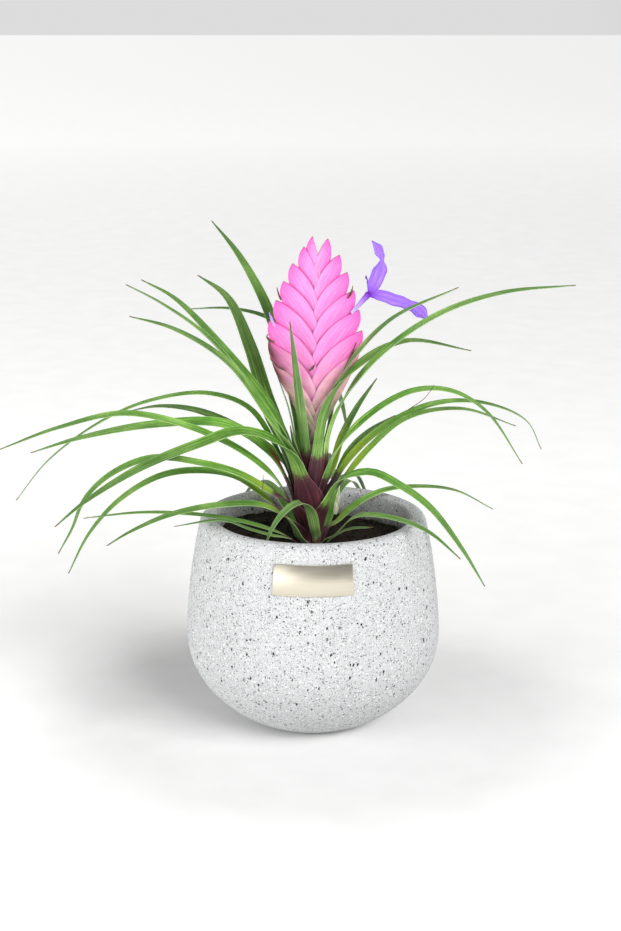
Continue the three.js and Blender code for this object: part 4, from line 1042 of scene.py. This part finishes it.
# soft petals: violet with finer, deeper veins and edges, a purple throat, and a tube that pales to lilac
petalSkin = {
    "tones": [(0.34, "#764cc6"), (0.5, "#9269d8"), (0.66, "#ad82e8")], "edge": "#6040b4",
    "veinScale": 1.4, "veinStretch": (1, 14, 1),  # across a petal the veins are 14 times as fine as along it
    "throat": [(0.0, "#b7a2d2"), (0.10, "#a584d4"), (0.19, "#7428b0"), (0.36, "#8656cf")],
    # each share: from and to which value of what it follows, and what it is at those two
    "nearThroat": (0.46, 0.24, 0, 1), "atEdge": (0.42, 0.5, 0, 0.55),
}
petalMaterial = startMaterial("softVioletPetal")
petalPlace = addNode("UVMap", uv_map="course")[0]
petalGuide = addNode("SeparateXYZ", [petalPlace])
petalStretch = addNode("Mapping", {"Vector": petalPlace, "Scale": petalSkin["veinStretch"]})[0]
petalVeins = addNode("TexNoise", {"Vector": petalStretch, "Scale": petalSkin["veinScale"],
                                  "Detail": 3})["Fac"]
petalColour = addNode("ValToRGB", [petalVeins], stops=petalSkin["tones"])[0]
throatTone = addNode("ValToRGB", [petalGuide[0]], stops=petalSkin["throat"])[0]
nearThroat = addNode("MapRange", (petalGuide[0], *petalSkin["nearThroat"]))[0]
fromMidline = addNode("Math", (petalGuide[1], 0.5), operation="SUBTRACT")[0]
fromMidline = addNode("Math", [fromMidline], operation="ABSOLUTE")[0]
petalEdge = addNode("MapRange", (fromMidline, *petalSkin["atEdge"]))[0]
for share, tone in ((nearThroat, throatTone), (petalEdge, petalSkin["edge"])):
    petalColour = addNode("Mix", {0: share, 6: petalColour, 7: tone}, data_type="RGBA")[2]
petalBump = addNode("Bump", {"Height": petalVeins, "Strength": 0.3, "Distance": 0.0003})[0]
feed(surface, {
    "Base Color": petalColour, "Roughness": 0.55, "IOR": 1.4, "Subsurface Weight": 0.2,
    "Subsurface Radius": (0.0015, 0.0008, 0.003), "Subsurface Scale": 1.0, "Normal": petalBump,
})

flowerParts = []
for order, rows in enumerate(petals):
    rings, course = petalRings(rows, order * flower["rufflePhase"], flower["ruffle"])
    flowerParts.append((rings, {"course": [(mix(flower["tubeEnd"], 1, u), v) for u, v in course]}))
tube = tubeRings()
flowerParts.append((tube, {"course": [(flower["tubeEnd"] * row / (len(tube) - 1), side / flower["tubeSides"])
                                      for row in range(len(tube)) for side in range(flower["tubeSides"])]}))
flowerPoints, flowerFaces, flowerGuides = joinSkins(flowerParts)
makePiece("openFlower", flowerPoints, flowerFaces, petalMaterial, flowerGuides, sharp=60,
          replaced="corolla", slot="corolla")
print("flower made")


# Wilted flowers between the bracts, and dry threads among the leaves

# each from its root to its tip: x, y, z, width, twist in degrees
wilted = [
    [(-17, -2, 235.5, 1.0, 0), (-18.2, -2.6, 238.6, 0.9, 20), (-19.2, -2.4, 242.3, 0.4, 40)],
    [(-20.5, -2.4, 212.6, 1.0, 0), (-23.4, -3, 214.2, 1.5, 20), (-24.6, -2.8, 216.4, 1.1, 60),
     (-23.6, -2.8, 217.2, 0.4, 90)],
    [(-14.5, -3.4, 197.6, 0.7, 0), (-18.6, -3.6, 199.8, 1.5, 10), (-22.2, -2.8, 203.2, 1.0, 30),
     (-23, -2.6, 206, 0.4, 40)],
    [(18.4, -2.2, 236.4, 0.8, 0), (20.2, -2.8, 239.4, 1.4, 20), (21, -2.6, 243.2, 0.4, 50)],
    [(20.6, -2.4, 206.2, 0.8, 0), (22.4, -3, 207.6, 1.4, 40), (23.6, -2.6, 209.8, 0.4, 80)],
    [(-2, -5.2, 197.8, 0.7, 0), (-0.4, -5.9, 199.4, 1.5, 10), (1, -5.3, 201.4, 0.4, 30)],
    [(14.4, -3.6, 192, 0.7, 0), (17.4, -3.6, 199, 1.2, 10), (20.4, -3.2, 206, 1.0, 20),
     (23.2, -2.8, 213, 0.4, 30)],
]
lilacRemnant = [(-20.4, -2.6, 221.4, 1.0, 0), (-22, -3, 225.2, 1.6, 20), (-23.2, -2.6, 229, 0.6, 50)]
# threads: points, width at the root
threads = [
    [(50.7, -10, 177.5, 0.5, 0), (58.6, -11, 183.4, 0.35, 0), (62, -11, 187.4, 0.3, 0),
     (64.4, -10, 191.1, 0.25, 0)],
    [(-27.3, -20, 135.9, 0.4, 0), (-26.6, -20.5, 140, 0.3, 0), (-26.7, -20, 144.2, 0.25, 0)],
]

remnantCourse = 0.12  # the share of a flower's course that a remnant shows: the pale lilac of the tube

# the pale base of an old leaf among the sheaths, dried and split
oldBase = [[(12, -4.6, 118, 2, 0), (12.6, -5, 122, 3, 10), (13.6, -5.8, 128, 2.4, 20),
            (14.4, -6.2, 134.5, 0.6, 40)]]

# dead tissue dried to a dull dark brown, with lighter creases
driedTones = [(0.35, "#3a2529"), (0.55, "#6b4540"), (0.75, "#9c7c6c")]
driedMaterial = noiseMaterial("driedBrownTissue", (1.11, 1.11, 1.11), 4, driedTones, 0.5, 0.0003, 0.8)
# straw-coloured papery tissue, with long brown fibres
paperyTones = [(0.32, "#868e6a"), (0.52, "#b2b898"), (0.7, "#dcdccb")]
papery = noiseMaterial("paperyStrawDeadLeaf", (0.667, 0.667, 8.33), 4, paperyTones, 0.4, 0.0003, 0.75)
# name, group, material, ruffle and thickness in mm, slot
for name, group, material, ruffle, thickness, slot in (
        ("oldLeafBase", oldBase, papery, 0.2, 0.4, "leaf"),
        ("wiltedFlowers", wilted, driedMaterial, 0.2, 0.4, "flower_spike"),
        ("lilacRemnant", [lilacRemnant], petalMaterial, 0.2, 0.4, "corolla"),
        ("dryThreads", threads, driedMaterial, 0, 0.25, "leaf")):
    parts = []
    for order, rows in enumerate(group):
        rings, course = petalRings(rows, order, ruffle, thickness)
        parts.append((rings, {"course": [(u * remnantCourse, v) for u, v in course]}))
    points, faces, guides = joinSkins(parts)
    makePiece(name, points, faces, material, guides, sharp=60, slot=slot)
print("remnants made")


# Stem

# the short stem under the crown: brown, fibrous, ringed by old leaf bases
stemMaterial = noiseMaterial("fibrousBrownStem", (1.43, 1.43, 6.25), 4, [(0.3, "#3a251b"), (0.7, "#75543c")],
                             0.6, 0.0005, 0.85)
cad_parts["stem"].material_slots[0].material = stemMaterial
print("stem dressed")
